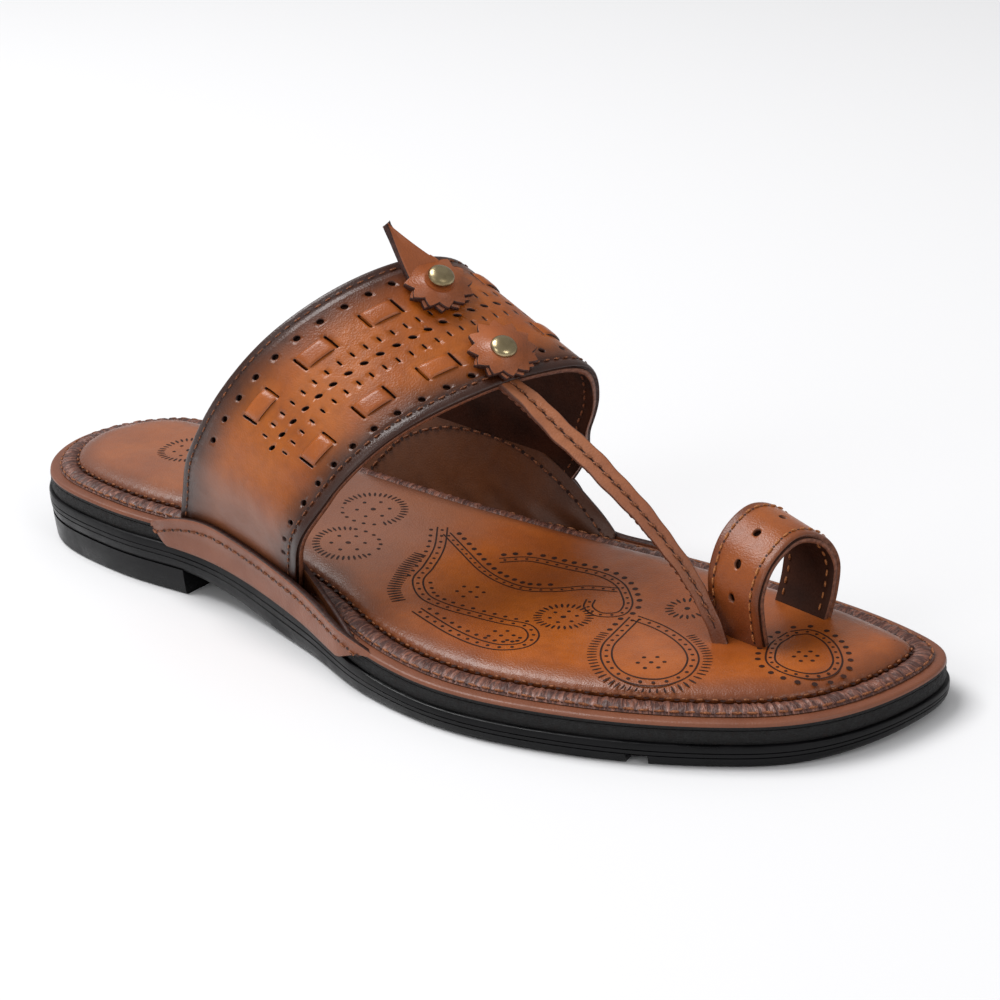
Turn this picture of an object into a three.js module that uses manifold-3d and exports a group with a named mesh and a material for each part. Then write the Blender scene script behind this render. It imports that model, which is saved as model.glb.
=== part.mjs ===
// Kolhapuri sandal, right foot. Millimetres, +Z up, toe towards -Y, lateral side towards -X.
import * as THREE from 'three';
import Module from 'manifold-3d';

// ---- driving sizes ----------------------------------------------------------------------------
const LENGTH = 283;               // outer sole, heel end to toe end
const PLAN_CENTRE = 5.6;          // the plan's middle lies this far to the lateral side of the axis
const HEEL_RIM = 20.2;            // top of the leather rim at the heel
const BALL_RIM = 11.6;            // top of the leather rim at the ball
const SHANK_START = 66;           // the rim starts to drop here, measured from the heel end
const SHANK_END = 186;            // and is level again here
const COVER = 2.0;                // leather cover board
const BOARD = 3.0;                // black midsole board
const GAP = 0.3;                  // clearance between neighbouring pieces
const BREAST = 77;                // front face of the heel block
const HEEL_STEP = 7;              // height of the breast
const WAIST_END = 128;            // the waist is down on the floor here
const SPRING_START = 256;         // the toe starts to lift here
const SPRING = 1.6;               // lift of the sole at the toe end
const RIM_WIDTH = 4.0;            // smooth rim outside the gathered strip
const STRIP_WIDTH = 5.2;          // gathered strip
const PAD_EDGE = RIM_WIDTH + STRIP_WIDTH + GAP;
const STRIP_TOP = 2.2;            // top of the gathered strip over the cover
const PAD_HEIGHT = 4.6;           // crown of the puffed pad above the cover
const BAND_WALL = 2.8;            // two layers of leather
const BAND_INSET = 1.0;           // the band's feet stand this far inside the sole's edge
const FOOT_LEAN = 0.28;           // the feet and the flaps lean out by this much of their height
const FLAP_WALL = 1.8;
const RING_WALL = 2.6;
const RING_WIDTH = 17;
const ROSETTE_RADIUS = 9.2;
const ROSETTE_ROOT = 7.3;
const ROSETTE_TEETH = 12;
const ROSETTE_WALL = 2.6;
const RIVET_RADIUS = 3.5;
const RIVET_HEIGHT = 1.9;
const SPIKE_WIDTH = 10.5;
const SPIKE_REACH = 15.0;
const STRAP_WIDTH = 7.4;
const STRAP_WALL = 3.6;

// Outline of the sole: reach to each side of the axis at stations from the heel end.
const HEEL_END = { side: -4.5 };
const TOE_END = { side: -20.5 };
const PLAN = [
  { station: 4.5, lateral: 11, medial: 20.5 },
  { station: 18, lateral: 24.4, medial: 33.6 },
  { station: 50, lateral: 31.8, medial: 35 },
  { station: 92, lateral: 32.4, medial: 33.6 },
  { station: 128, lateral: 40.6, medial: 36.4 },
  { station: 158, lateral: 51.6, medial: 40.4 },
  { station: 188, lateral: 55.2, medial: 42.4 },
  { station: 220, lateral: 49.2, medial: 41.4 },
  { station: 248, lateral: 37.6, medial: 38.8 },
  { station: 268, lateral: 23.4, medial: 34 },
  { station: 279, lateral: 4.6, medial: 28.6 },
];

// The two edges of the instep band, from the lateral foot over the instep to the medial foot.
const BAND_EDGES = [
  { rearSide: 31.3, rearUp: 19.0, frontSide: 39.2, frontUp: 14.2 },
  { rearSide: 35.6, rearUp: 32.0, frontSide: 43.0, frontUp: 26.0 },
  { rearSide: 38.6, rearUp: 49.0, frontSide: 44.6, frontUp: 38.0 },
  { rearSide: 36.6, rearUp: 67.0, frontSide: 41.6, frontUp: 52.0 },
  { rearSide: 28.6, rearUp: 82.0, frontSide: 32.0, frontUp: 63.0 },
  { rearSide: 13.0, rearUp: 92.6, frontSide: 15.0, frontUp: 69.4 },
  { rearSide: -6.0, rearUp: 95.8, frontSide: -6.0, frontUp: 71.6 },
  { rearSide: -22.0, rearUp: 90.6, frontSide: -22.6, frontUp: 68.4 },
  { rearSide: -32.0, rearUp: 75.0, frontSide: -32.6, frontUp: 56.0 },
  { rearSide: -35.6, rearUp: 54.0, frontSide: -36.8, frontUp: 40.0 },
  { rearSide: -34.6, rearUp: 35.0, frontSide: -37.6, frontUp: 26.0 },
  { rearSide: -32.6, rearUp: 17.0, frontSide: -38.0, frontUp: 11.6 },
];
const BAND_REAR = { station: 79, side: 32, up: 24, across: 0.35, rise: 0.60 };
const BAND_FRONT = { station: 129, side: 40, up: 21, across: 0.33, rise: 0.60 };

// Top edge of each flap above the rim, by station.
const FLAPS = {
  lateral: [
    { station: 62, rise: -2.2 }, { station: 70, rise: 1.6 }, { station: 80, rise: 4.8 },
    { station: 91, rise: 6.6 }, { station: 104, rise: 6.2 }, { station: 122, rise: 5.6 },
    { station: 140, rise: 4.8 }, { station: 152, rise: 3.0 }, { station: 166, rise: -1.6 },
  ],
  medial: [
    { station: 80, rise: -2.2 }, { station: 90, rise: 2.2 }, { station: 102, rise: 6.0 },
    { station: 120, rise: 8.6 }, { station: 140, rise: 11.4 }, { station: 154, rise: 12.6 },
    { station: 158.5, rise: 9.8 }, { station: 163, rise: 3.0 }, { station: 170, rise: 0.9 },
    { station: 186, rise: 0.5 }, { station: 204, rise: -1.8 },
  ],
};

// Centre line of the toe ring, from its foot in the slit over the big toe to its inner foot.
const RING = [
  { side: -0.2, up: -2.6 }, { side: 1.4, up: 6.6 }, { side: 1.6, up: 13.8 }, { side: -2.4, up: 21.4 },
  { side: -11.3, up: 25.6 }, { side: -20.2, up: 22.4 }, { side: -25.0, up: 14.8 },
  { side: -24.4, up: 6.6 }, { side: -21.2, up: -2.6 },
];
const RING_STATION = 239.5;       // middle of the ring
const RING_TURN = -13;            // degrees, the ring turns with the toe
const RING_SLOPE = 0.20;          // its roof drops forward by this much of the run

// Centre line of the toe strap from under the lower rosette to the slit.
const STRAP = [
  { station: 164.5, side: 1.8, up: 72.0 }, { station: 174, side: 1.8, up: 67.4 },
  { station: 188, side: 1.7, up: 58.6 }, { station: 202, side: 1.6, up: 49.0 },
  { station: 215, side: 1.8, up: 38.4 }, { station: 225.2, side: 2.8, up: 28.6 },
  { station: 231.4, side: 3.9, up: 21.0 }, { station: 234.6, side: 4.2, up: 13.8 },
];

// ---- frame ------------------------------------------------------------------------------------
const wasm = await Module();
wasm.setup();

/** A point from its station (from the heel end), its side (lateral positive) and its height. */
const at = (station, side, up) => new THREE.Vector3(PLAN_CENTRE - side, LENGTH / 2 - station, up);
const clamp01 = (x) => Math.min(1, Math.max(0, x));
const smooth = (a, b, x) => {
  const t = clamp01((x - a) / (b - a));
  return t * t * (3 - 2 * t);
};
const mix = (a, b, t) => a + (b - a) * t;

const rimTop = (s) => mix(HEEL_RIM, BALL_RIM, smooth(SHANK_START, SHANK_END, s));
const coverBottom = (s) => rimTop(s) - COVER;
const boardTop = (s) => coverBottom(s) - GAP;
const boardBottom = (s) => boardTop(s) - BOARD;
const outsoleTop = (s) => boardBottom(s) - GAP;
const waistBottom = (s) => HEEL_STEP * (1 - smooth(BREAST - 6, WAIST_END, s));
const spring = (s) => SPRING * clamp01((s - SPRING_START) / (LENGTH - SPRING_START)) ** 2;
const outsoleBottom = (s) => waistBottom(s) + spring(s);

// ---- outline ----------------------------------------------------------------------------------
const planLoop = () => {
  const knots = [new THREE.Vector3(0, HEEL_END.side, 0)];
  PLAN.forEach((row) => knots.push(new THREE.Vector3(row.station, row.lateral, 0)));
  knots.push(new THREE.Vector3(LENGTH, TOE_END.side, 0));
  [...PLAN].reverse().forEach((row) => knots.push(new THREE.Vector3(row.station, -row.medial, 0)));
  const curve = new THREE.CatmullRomCurve3(knots, true, 'centripetal');
  let loop = curve.getSpacedPoints(360).slice(0, -1);
  for (let pass = 0; pass < 8; pass += 1) {
    const n = loop.length;
    loop = loop.map((p, i) => p.clone().multiplyScalar(0.5)
      .addScaledVector(loop[(i + 1) % n], 0.25).addScaledVector(loop[(i + n - 1) % n], 0.25));
  }
  return loop;
};
const OUTLINE = planLoop();

/** The outline moved inwards by an inset; negative moves it out. */
const insetLoop = (inset) => {
  const n = OUTLINE.length;
  return OUTLINE.map((p, i) => {
    const d = OUTLINE[(i + 2) % n].clone().sub(OUTLINE[(i + n - 2) % n]).normalize();
    return new THREE.Vector3(p.x + d.y * inset * TURN, p.y - d.x * inset * TURN, 0);
  });
};
const signedArea = (loop) => loop.reduce((sum, p, i) => {
  const q = loop[(i + 1) % loop.length];
  return sum + (p.x * q.y - q.x * p.y) / 2;
}, 0);
const TURN = signedArea(OUTLINE) > 0 ? -1 : 1;

/** Side reached by a loop at a station, on the lateral (1) or the medial (-1) side. */
const makeReach = (inset) => {
  const loop = insetLoop(inset);
  const low = loop.reduce((a, p, i) => (p.x < loop[a].x ? i : a), 0);
  const high = loop.reduce((a, p, i) => (p.x > loop[a].x ? i : a), 0);
  const n = loop.length;
  const walk = (from, to) => {
    const chain = [];
    for (let i = from; ; i = (i + 1) % n) {
      chain.push(loop[i]);
      if (i === to) break;
    }
    return chain;
  };
  const one = walk(low, high);
  const two = walk(high, low).reverse();
  const middle = (chain) => chain[Math.floor(chain.length / 2)].y;
  const [lateral, medial] = middle(one) > middle(two) ? [one, two] : [two, one];
  const sideAt = (chain, s) => {
    for (let i = 1; i < chain.length; i += 1) {
      if (chain[i].x >= s) {
        const t = clamp01((s - chain[i - 1].x) / (chain[i].x - chain[i - 1].x || 1));
        return mix(chain[i - 1].y, chain[i].y, t);
      }
    }
    return chain[chain.length - 1].y;
  };
  return {
    start: loop[low].x,
    end: loop[high].x,
    lateral: (s) => sideAt(lateral, s),
    medial: (s) => sideAt(medial, s),
    loop,
  };
};
const reachCache = new Map();
const reach = (inset) => {
  const key = inset.toFixed(3);
  if (!reachCache.has(key)) reachCache.set(key, makeReach(inset));
  return reachCache.get(key);
};

// ---- solids -----------------------------------------------------------------------------------
class Solid {
  constructor() {
    this.points = [];
    this.faces = [];
  }

  point(p) {
    this.points.push(p);
    return this.points.length - 1;
  }

  face(a, b, c) {
    if (a !== b && b !== c && c !== a) this.faces.push([a, b, c]);
  }

  quad(a, b, c, d) {
    this.face(a, b, c);
    this.face(a, c, d);
  }

  /** Merged, outward-facing manifold body. */
  body() {
    const keys = new Map();
    const merged = [];
    const index = this.points.map((p) => {
      const key = `${p.x.toFixed(4)},${p.y.toFixed(4)},${p.z.toFixed(4)}`;
      if (!keys.has(key)) {
        keys.set(key, merged.length);
        merged.push(p);
      }
      return keys.get(key);
    });
    let faces = this.faces.map((f) => f.map((i) => index[i]));
    faces = faces.filter(([a, b, c]) => a !== b && b !== c && c !== a);
    const volume = faces.reduce((sum, [a, b, c]) => (
      sum + merged[a].dot(merged[b].clone().cross(merged[c])) / 6), 0);
    if (volume < 0) faces = faces.map(([a, b, c]) => [a, c, b]);
    const mesh = new wasm.Mesh({
      numProp: 3,
      vertProperties: new Float32Array(merged.flatMap((p) => [p.x, p.y, p.z])),
      triVerts: new Uint32Array(faces.flat()),
    });
    return new wasm.Manifold(mesh);
  }
}

/** A plate that follows the outline: levels from the bottom up, capped with a grid of columns. */
const plate = (levels, rows, columns, topRise = null, bottomRise = null) => {
  const solid = new Solid();
  const share = (j) => (1 - Math.cos(Math.PI * j / rows)) / 2;
  const rim = levels.map(({ inset, up }) => {
    const r = reach(inset);
    const sides = [];
    for (let j = 0; j <= rows; j += 1) {
      const s = mix(r.start, r.end, share(j));
      const end = j === 0 || j === rows;
      const left = end ? (r.lateral(s) + r.medial(s)) / 2 : r.lateral(s);
      const right = end ? left : r.medial(s);
      sides.push({ s, left, right, z: up(s) });
    }
    return sides.map((e) => ({
      e,
      l: solid.point(at(e.s, e.left, e.z)),
      r: solid.point(at(e.s, e.right, e.z)),
    }));
  });
  for (let k = 1; k < rim.length; k += 1) {
    for (let j = 0; j < rows; j += 1) {
      solid.quad(rim[k - 1][j].l, rim[k - 1][j + 1].l, rim[k][j + 1].l, rim[k][j].l);
      solid.quad(rim[k - 1][j + 1].r, rim[k - 1][j].r, rim[k][j].r, rim[k][j + 1].r);
    }
  }
  const cap = (ring, rise, flip) => {
    const grid = ring.map(({ e, l, r }) => {
      const line = [l];
      for (let i = 1; i < columns; i += 1) {
        const t = (1 - Math.cos(Math.PI * i / columns)) / 2;
        const v = mix(e.left, e.right, t);
        line.push(solid.point(at(e.s, v, e.z + (rise ? rise(e.s, v) : 0))));
      }
      line.push(r);
      return line;
    });
    for (let j = 0; j < rows; j += 1) {
      for (let i = 0; i < columns; i += 1) {
        const [a, b, c, d] = [grid[j][i], grid[j + 1][i], grid[j + 1][i + 1], grid[j][i + 1]];
        if (flip) solid.quad(a, b, c, d);
        else solid.quad(d, c, b, a);
      }
    }
  };
  cap(rim[rim.length - 1], topRise, true);
  cap(rim[0], bottomRise, false);
  return solid.body();
};

/** A sheet with a wall: outer and inner points on a grid, open or closed along the first way. */
const sheet = (outer, inner, across, along, closed = false) => {
  const solid = new Solid();
  const count = closed ? across : across + 1;
  const skin = (fn) => Array.from({ length: count }, (_, i) => (
    Array.from({ length: along + 1 }, (__, j) => solid.point(fn(i / across, j / along)))));
  const a = skin(outer);
  const b = skin(inner);
  for (let i = 0; i < across; i += 1) {
    const n = (i + 1) % count;
    for (let j = 0; j < along; j += 1) {
      solid.quad(a[i][j], a[n][j], a[n][j + 1], a[i][j + 1]);
      solid.quad(b[n][j], b[i][j], b[i][j + 1], b[n][j + 1]);
    }
    solid.quad(a[n][0], a[i][0], b[i][0], b[n][0]);
    solid.quad(a[i][along], a[n][along], b[n][along], b[i][along]);
  }
  if (!closed) {
    for (let j = 0; j < along; j += 1) {
      solid.quad(a[0][j], a[0][j + 1], b[0][j + 1], b[0][j]);
      solid.quad(a[across][j + 1], a[across][j], b[across][j], b[across][j + 1]);
    }
  }
  return solid.body();
};

/** A bar of rounded oblong section swept along a path; frame(t) gives centre, wide and thick. */
const bar = (frame, width, thickness, steps, round = 12) => {
  const solid = new Solid();
  const ring = (t) => {
    const { centre, wide, thick } = frame(t);
    return Array.from({ length: round }, (_, k) => {
      const a = (k + 0.5) / round * Math.PI * 2;
      const squash = (x) => Math.sign(x) * Math.abs(x) ** 0.6;
      return solid.point(centre.clone().addScaledVector(wide, squash(Math.cos(a)) * width / 2)
        .addScaledVector(thick, squash(Math.sin(a)) * thickness / 2));
    });
  };
  const rings = Array.from({ length: steps + 1 }, (_, i) => ring(i / steps));
  for (let i = 0; i < steps; i += 1) {
    for (let k = 0; k < round; k += 1) {
      const m = (k + 1) % round;
      solid.quad(rings[i][k], rings[i][m], rings[i + 1][m], rings[i + 1][k]);
    }
  }
  for (let k = 1; k < round - 1; k += 1) {
    solid.face(rings[0][0], rings[0][k + 1], rings[0][k]);
    solid.face(rings[steps][0], rings[steps][k], rings[steps][k + 1]);
  }
  return solid.body();
};

const box = (low, high) => wasm.Manifold.cube(
  [high.x - low.x, high.y - low.y, high.z - low.z]).translate([low.x, low.y, low.z]);

// ---- sole -------------------------------------------------------------------------------------
const ROWS = 44;
const flat = (z) => () => z;
const makeOutsole = () => {
  const wall = (inset, share) => ({ inset, up: (s) => mix(outsoleBottom(s), outsoleTop(s), share) });
  const unit = plate([wall(1.8, 0), wall(0.7, 0.1), wall(0.0, 0.6), wall(0.3, 1)], ROWS, 4);
  const heelSlab = plate([
    { inset: 1.8, up: flat(0) }, { inset: 0.9, up: flat(0.8) },
    { inset: 0.35, up: flat(HEEL_STEP + 2) }], ROWS, 2);
  const heelRoom = box(at(BREAST, 60, -1), at(-5, -60, HEEL_STEP + 3));
  const heel = heelSlab.intersect(heelRoom);
  let sole = unit.add(heel);
  const groove = (station, from, to, width, depth) => box(
    at(station + width / 2, from, -1), at(station - width / 2, to, depth));
  for (let k = 0; k < 4; k += 1) sole = sole.subtract(groove(16 + k * 15, 16, -20, 3, 1.2));
  for (let k = 0; k < 7; k += 1) sole = sole.subtract(groove(146 + k * 14, 30, -24, 3, 1.2));
  sole = sole.subtract(groove(235.5, 70, 36, 4.6, 1.9));
  return sole;
};
const makeBoard = () => plate([
  { inset: 1.1, up: boardBottom }, { inset: 1.1, up: boardTop }], ROWS, 2);
const makeCover = () => plate([
  { inset: 1.1, up: coverBottom }, { inset: 1.0, up: (s) => rimTop(s) - 0.7 },
  { inset: 1.4, up: rimTop }], ROWS, 2);
/** Room under a surface, taken out of what stands on it. */
const roomUnder = (inset, up) => plate([{ inset, up: flat(-20) }, { inset, up }], ROWS, 2);

/** Height of the pad's puffed top over its shoulder, from the distance to the pad's edge. */
const padLoop = () => reach(PAD_EDGE).loop;
const edgeDistance = (loop, s, v) => loop.reduce((best, p) => (
  Math.min(best, Math.hypot(p.x - s, p.y - v))), 1e9);
const makePad = (lift = 0) => {
  const loop = padLoop();
  const puff = (s, v) => {
    const d = edgeDistance(loop, s, v);
    return (PAD_HEIGHT - 3.0) * (1 - Math.exp(-d / 4.5)) - 0.9 * smooth(10, 34, d);
  };
  return plate([
    { inset: PAD_EDGE + 0.5, up: (s) => rimTop(s) + GAP - lift * 40 },
    { inset: PAD_EDGE, up: (s) => rimTop(s) + 1.1 + lift },
    { inset: PAD_EDGE + 0.4, up: (s) => rimTop(s) + 2.1 + lift },
    { inset: PAD_EDGE + 1.6, up: (s) => rimTop(s) + 3.0 + lift }], ROWS, 8, puff);
};
const makeStrip = () => {
  const turns = 90;
  const loops = [0, 0.28, 0.72, 1].map((w) => insetLoop(RIM_WIDTH + w * STRIP_WIDTH));
  const crown = [0.5, 1.5, 1.6, 0.7];
  const pick = (row, t) => loops[row][Math.round(t * OUTLINE.length) % OUTLINE.length];
  const top = (t, w) => {
    const row = Math.round(w * 3);
    const p = pick(row, t);
    return at(p.x, p.y, rimTop(p.x) + GAP + crown[row]);
  };
  const under = (t, w) => {
    const p = pick(Math.round(w * 3), t);
    return at(p.x, p.y, rimTop(p.x) + GAP);
  };
  return sheet(top, under, turns, 3, true);
};

// ---- flaps ------------------------------------------------------------------------------------
const column = (rows, key) => new THREE.CatmullRomCurve3(
  rows.map((row) => new THREE.Vector3(row.station, row[key], 0)), false, 'centripetal');
const makeFlap = (side) => {
  const rows = FLAPS[side];
  const top = column(rows, 'rise');
  const skin = (inset) => (t, w) => {
    const k = top.getPoint(t);
    const s = k.x;
    const foot = outsoleTop(s) + GAP;
    const head = Math.max(rimTop(s) + k.y, foot + 1.2);
    const z = mix(foot, head, w);
    return at(s, footSide(side === 'lateral', inset, s, z - rimTop(s)), z);
  };
  const inner = BAND_INSET - GAP - 0.2;
  return sheet(skin(inner - FLAP_WALL), skin(inner), 34, 4);
};

// ---- upper ------------------------------------------------------------------------------------
const bandCurve = (sideKey, upKey, lean) => new THREE.CatmullRomCurve3(BAND_EDGES.map((row) => {
  const station = lean.station + (lean.side - row[sideKey]) * lean.across
    + (row[upKey] - lean.up) * lean.rise;
  return at(station, row[sideKey], row[upKey]);
}), false, 'centripetal');
const REAR_EDGE = bandCurve('rearSide', 'rearUp', BAND_REAR);
const FRONT_EDGE = bandCurve('frontSide', 'frontUp', BAND_FRONT);

/** Side of the leather standing at the sole's edge, a height over the rim up. */
const footSide = (lateral, inset, s, over) => {
  const r = reach(inset);
  const rise = Math.max(0, over) * FOOT_LEAN;
  return lateral ? r.lateral(s) + rise : r.medial(s) - rise;
};

/** Outer face of the band: across from lateral (0) to medial (1), along from rear to front. */
const bandPoint = (across, along) => {
  const p = REAR_EDGE.getPoint(across).lerp(FRONT_EDGE.getPoint(across), along);
  const s = LENGTH / 2 - p.y;
  const over = p.z - rimTop(s);
  const held = footSide(across < 0.5, BAND_INSET, s, over);
  p.x = mix(p.x, PLAN_CENTRE - held, 1 - smooth(13, 34, over));
  return p;
};
const bandNormal = (across, along) => {
  const e = 0.004;
  const u = bandPoint(Math.min(1, across + e), along).sub(bandPoint(Math.max(0, across - e), along));
  const v = bandPoint(across, Math.min(1, along + e)).sub(bandPoint(across, Math.max(0, along - e)));
  return v.cross(u).normalize();
};
const makeBand = () => {
  const inner = (across, along) => bandPoint(across, along)
    .addScaledVector(bandNormal(across, along), -BAND_WALL);
  return sheet(bandPoint, inner, 42, 5).subtract(roomUnder(-8, (s) => rimTop(s) + GAP));
};
const strapPath = new THREE.CatmullRomCurve3(
  STRAP.map((row) => at(row.station, row.side, row.up)), false, 'centripetal');
const strapFrame = (t) => {
  const centre = strapPath.getPointAt(t);
  const go = strapPath.getTangentAt(t);
  const turn = THREE.MathUtils.degToRad(mix(0, 78, smooth(0.05, 0.3, t)));
  const level = new THREE.Vector3(1, 0, 0);
  const up = level.clone().cross(go).normalize();
  const wide = level.multiplyScalar(Math.cos(turn)).addScaledVector(up, Math.sin(turn)).normalize();
  return { centre, wide, thick: wide.clone().cross(go).normalize() };
};
const makeUpper = () => makeBand().add(bar(strapFrame, STRAP_WIDTH, STRAP_WALL, 30)).subtract(makePad(GAP));

// ---- toe ring ---------------------------------------------------------------------------------
const ringCurve = new THREE.CatmullRomCurve3(
  RING.map((row) => new THREE.Vector3(row.side, row.up, 0)), false, 'centripetal');
const ringFloor = rimTop(RING_STATION) + PAD_HEIGHT + 0.3;
const makeRing = () => {
  const turn = THREE.MathUtils.degToRad(RING_TURN);
  const skin = (push) => (t, w) => {
    const p = ringCurve.getPointAt(t);
    const go = ringCurve.getTangentAt(t);
    const side = p.x + go.y * push;
    const up = p.y - go.x * push;
    const run = (w - 0.5) * RING_WIDTH;
    const middle = RING[4].side;
    const s = RING_STATION + run * Math.cos(turn) + (side - middle) * Math.sin(turn);
    const v = middle + (side - middle) * Math.cos(turn) - run * Math.sin(turn);
    return at(s, v, ringFloor + up - run * RING_SLOPE * clamp01(up / 24));
  };
  return sheet(skin(RING_WALL / 2), skin(-RING_WALL / 2), 34, 3)
    .subtract(roomUnder(-8, (s) => rimTop(s) + STRIP_TOP + GAP)).subtract(makePad(GAP));
};

// ---- rosettes, rivets, tab --------------------------------------------------------------------
const SEATS = {
  upper: { across: 0.531, along: 0.265, lift: 2.3 },
  lower: { across: 0.523, along: 0.825, lift: 0.8 },
};
const seatFrame = ({ across, along }, lift) => {
  const normal = bandNormal(across, along);
  const centre = bandPoint(across, along).addScaledVector(normal, lift);
  const run = bandPoint(across, along + 0.02).sub(bandPoint(across, along - 0.02));
  const forward = run.addScaledVector(normal, -run.dot(normal)).normalize();
  const cross = normal.clone().cross(forward);
  return { centre, forward, cross, normal };
};
const place = (frame, x, y, z) => frame.centre.clone().addScaledVector(frame.forward, x)
  .addScaledVector(frame.cross, y).addScaledVector(frame.normal, z);
const makeDisc = (frame, thickness, radiusAt, steps, dome = null) => {
  const solid = new Solid();
  const ring = (z, scale) => Array.from({ length: steps }, (_, k) => {
    const a = k / steps * Math.PI * 2;
    const r = radiusAt(a) * scale;
    return solid.point(place(frame, r * Math.cos(a), r * Math.sin(a), z));
  });
  const rings = dome ? dome.map(({ z, scale }) => ring(z, scale)) : [ring(0, 1), ring(thickness, 1)];
  for (let i = 1; i < rings.length; i += 1) {
    for (let k = 0; k < steps; k += 1) {
      const m = (k + 1) % steps;
      solid.quad(rings[i - 1][k], rings[i - 1][m], rings[i][m], rings[i][k]);
    }
  }
  const low = solid.point(place(frame, 0, 0, dome ? dome[0].z : 0));
  const topZ = dome ? dome[dome.length - 1].z + 0.05 : thickness;
  const high = solid.point(place(frame, 0, 0, topZ));
  for (let k = 0; k < steps; k += 1) {
    const m = (k + 1) % steps;
    solid.face(low, rings[0][m], rings[0][k]);
    solid.face(high, rings[rings.length - 1][k], rings[rings.length - 1][m]);
  }
  return solid.body();
};
const toothed = (a) => {
  const phase = (a / (Math.PI * 2) * ROSETTE_TEETH) % 1;
  return mix(ROSETTE_RADIUS, ROSETTE_ROOT, 1 - Math.abs(2 * phase - 1));
};
const makeRosette = (seat) => makeDisc(
  seatFrame(seat, seat.lift), ROSETTE_WALL, toothed, ROSETTE_TEETH * 4);
const makeRivet = (seat) => {
  const dome = Array.from({ length: 6 }, (_, i) => {
    const a = i / 5 * Math.PI / 2 * 0.94;
    return { z: RIVET_HEIGHT * Math.sin(a), scale: Math.cos(a) };
  });
  const frame = seatFrame(seat, seat.lift + ROSETTE_WALL + 0.1);
  return makeDisc(frame, RIVET_HEIGHT, () => RIVET_RADIUS, 24, dome);
};
const makeSpike = () => {
  const frame = seatFrame(SEATS.upper, 0.45);
  const wall = 1.6;
  const half = (t) => mix(SPIKE_WIDTH / 2, 0.3, smooth(0.2, 1.6, t) * 2);
  const skin = (push) => (t, w) => {
    const x = -3.0 - SPIKE_REACH * t;
    const side = (w - 0.5) * 2 * half(t) - 3.4 * t;
    return place(frame, x, side, push + 8.5 * Math.max(0, t - 0.42) ** 1.6);
  };
  return sheet(skin(wall), skin(0), 10, 4);
};

// ---- assembly ---------------------------------------------------------------------------------
const MATERIALS = {
  rubber: new THREE.MeshStandardMaterial({ color: 0x1b1b1d, roughness: 0.55 }),
  board: new THREE.MeshStandardMaterial({ color: 0x17171a, roughness: 0.8 }),
  tan: new THREE.MeshStandardMaterial({ color: 0xa8623c, roughness: 0.45 }),
  dark: new THREE.MeshStandardMaterial({ color: 0x4a2c22, roughness: 0.6 }),
  brass: new THREE.MeshStandardMaterial({ color: 0x9a8a5e, roughness: 0.35, metalness: 1 }),
};
const group = new THREE.Group();
group.name = 'kolhapuri_sandal';
const add = (name, body, material) => {
  const mesh = body.getMesh();
  const geometry = new THREE.BufferGeometry();
  geometry.setAttribute('position', new THREE.BufferAttribute(
    Float32Array.from({ length: mesh.numVert * 3 }, (_, i) => (
      mesh.vertProperties[Math.floor(i / 3) * mesh.numProp + (i % 3)])), 3));
  geometry.setIndex(new THREE.BufferAttribute(new Uint32Array(mesh.triVerts), 1));
  geometry.computeVertexNormals();
  const node = new THREE.Mesh(geometry, material);
  node.name = name;
  group.add(node);
};
add('outsole', makeOutsole(), MATERIALS.rubber);
add('midsole_board', makeBoard(), MATERIALS.board);
add('footbed_cover', makeCover(), MATERIALS.tan);
add('gathered_strip', makeStrip(), MATERIALS.dark);
add('footbed_pad', makePad(), MATERIALS.tan);
add('flap_lateral', makeFlap('lateral'), MATERIALS.tan);
add('flap_medial', makeFlap('medial'), MATERIALS.tan);
add('upper', makeUpper(), MATERIALS.tan);
add('toe_ring', makeRing(), MATERIALS.tan);
add('rosette_upper', makeRosette(SEATS.upper), MATERIALS.tan);
add('rosette_lower', makeRosette(SEATS.lower), MATERIALS.tan);
add('rivet_upper', makeRivet(SEATS.upper), MATERIALS.brass);
add('rivet_lower', makeRivet(SEATS.lower), MATERIALS.brass);
add('spike_tab', makeSpike(), MATERIALS.tan);

export default group;
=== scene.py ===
"""Kolhapuri sandal, right foot. Leather, thread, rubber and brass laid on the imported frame."""

import math

import bmesh
import bpy
import numpy as np
from mathutils import Matrix, Vector


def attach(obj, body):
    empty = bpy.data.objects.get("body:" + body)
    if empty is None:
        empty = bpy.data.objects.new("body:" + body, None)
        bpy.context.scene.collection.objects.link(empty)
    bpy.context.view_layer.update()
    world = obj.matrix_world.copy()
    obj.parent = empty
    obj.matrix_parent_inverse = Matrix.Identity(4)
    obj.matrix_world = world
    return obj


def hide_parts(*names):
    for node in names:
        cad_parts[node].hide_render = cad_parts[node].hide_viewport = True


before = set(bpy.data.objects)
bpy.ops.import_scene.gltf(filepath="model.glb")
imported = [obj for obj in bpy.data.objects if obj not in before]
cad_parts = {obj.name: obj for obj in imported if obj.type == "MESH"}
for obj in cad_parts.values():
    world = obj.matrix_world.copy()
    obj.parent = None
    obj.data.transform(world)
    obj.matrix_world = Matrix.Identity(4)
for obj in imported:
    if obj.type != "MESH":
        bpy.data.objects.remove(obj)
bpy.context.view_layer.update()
rng = np.random.default_rng(7)

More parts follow.
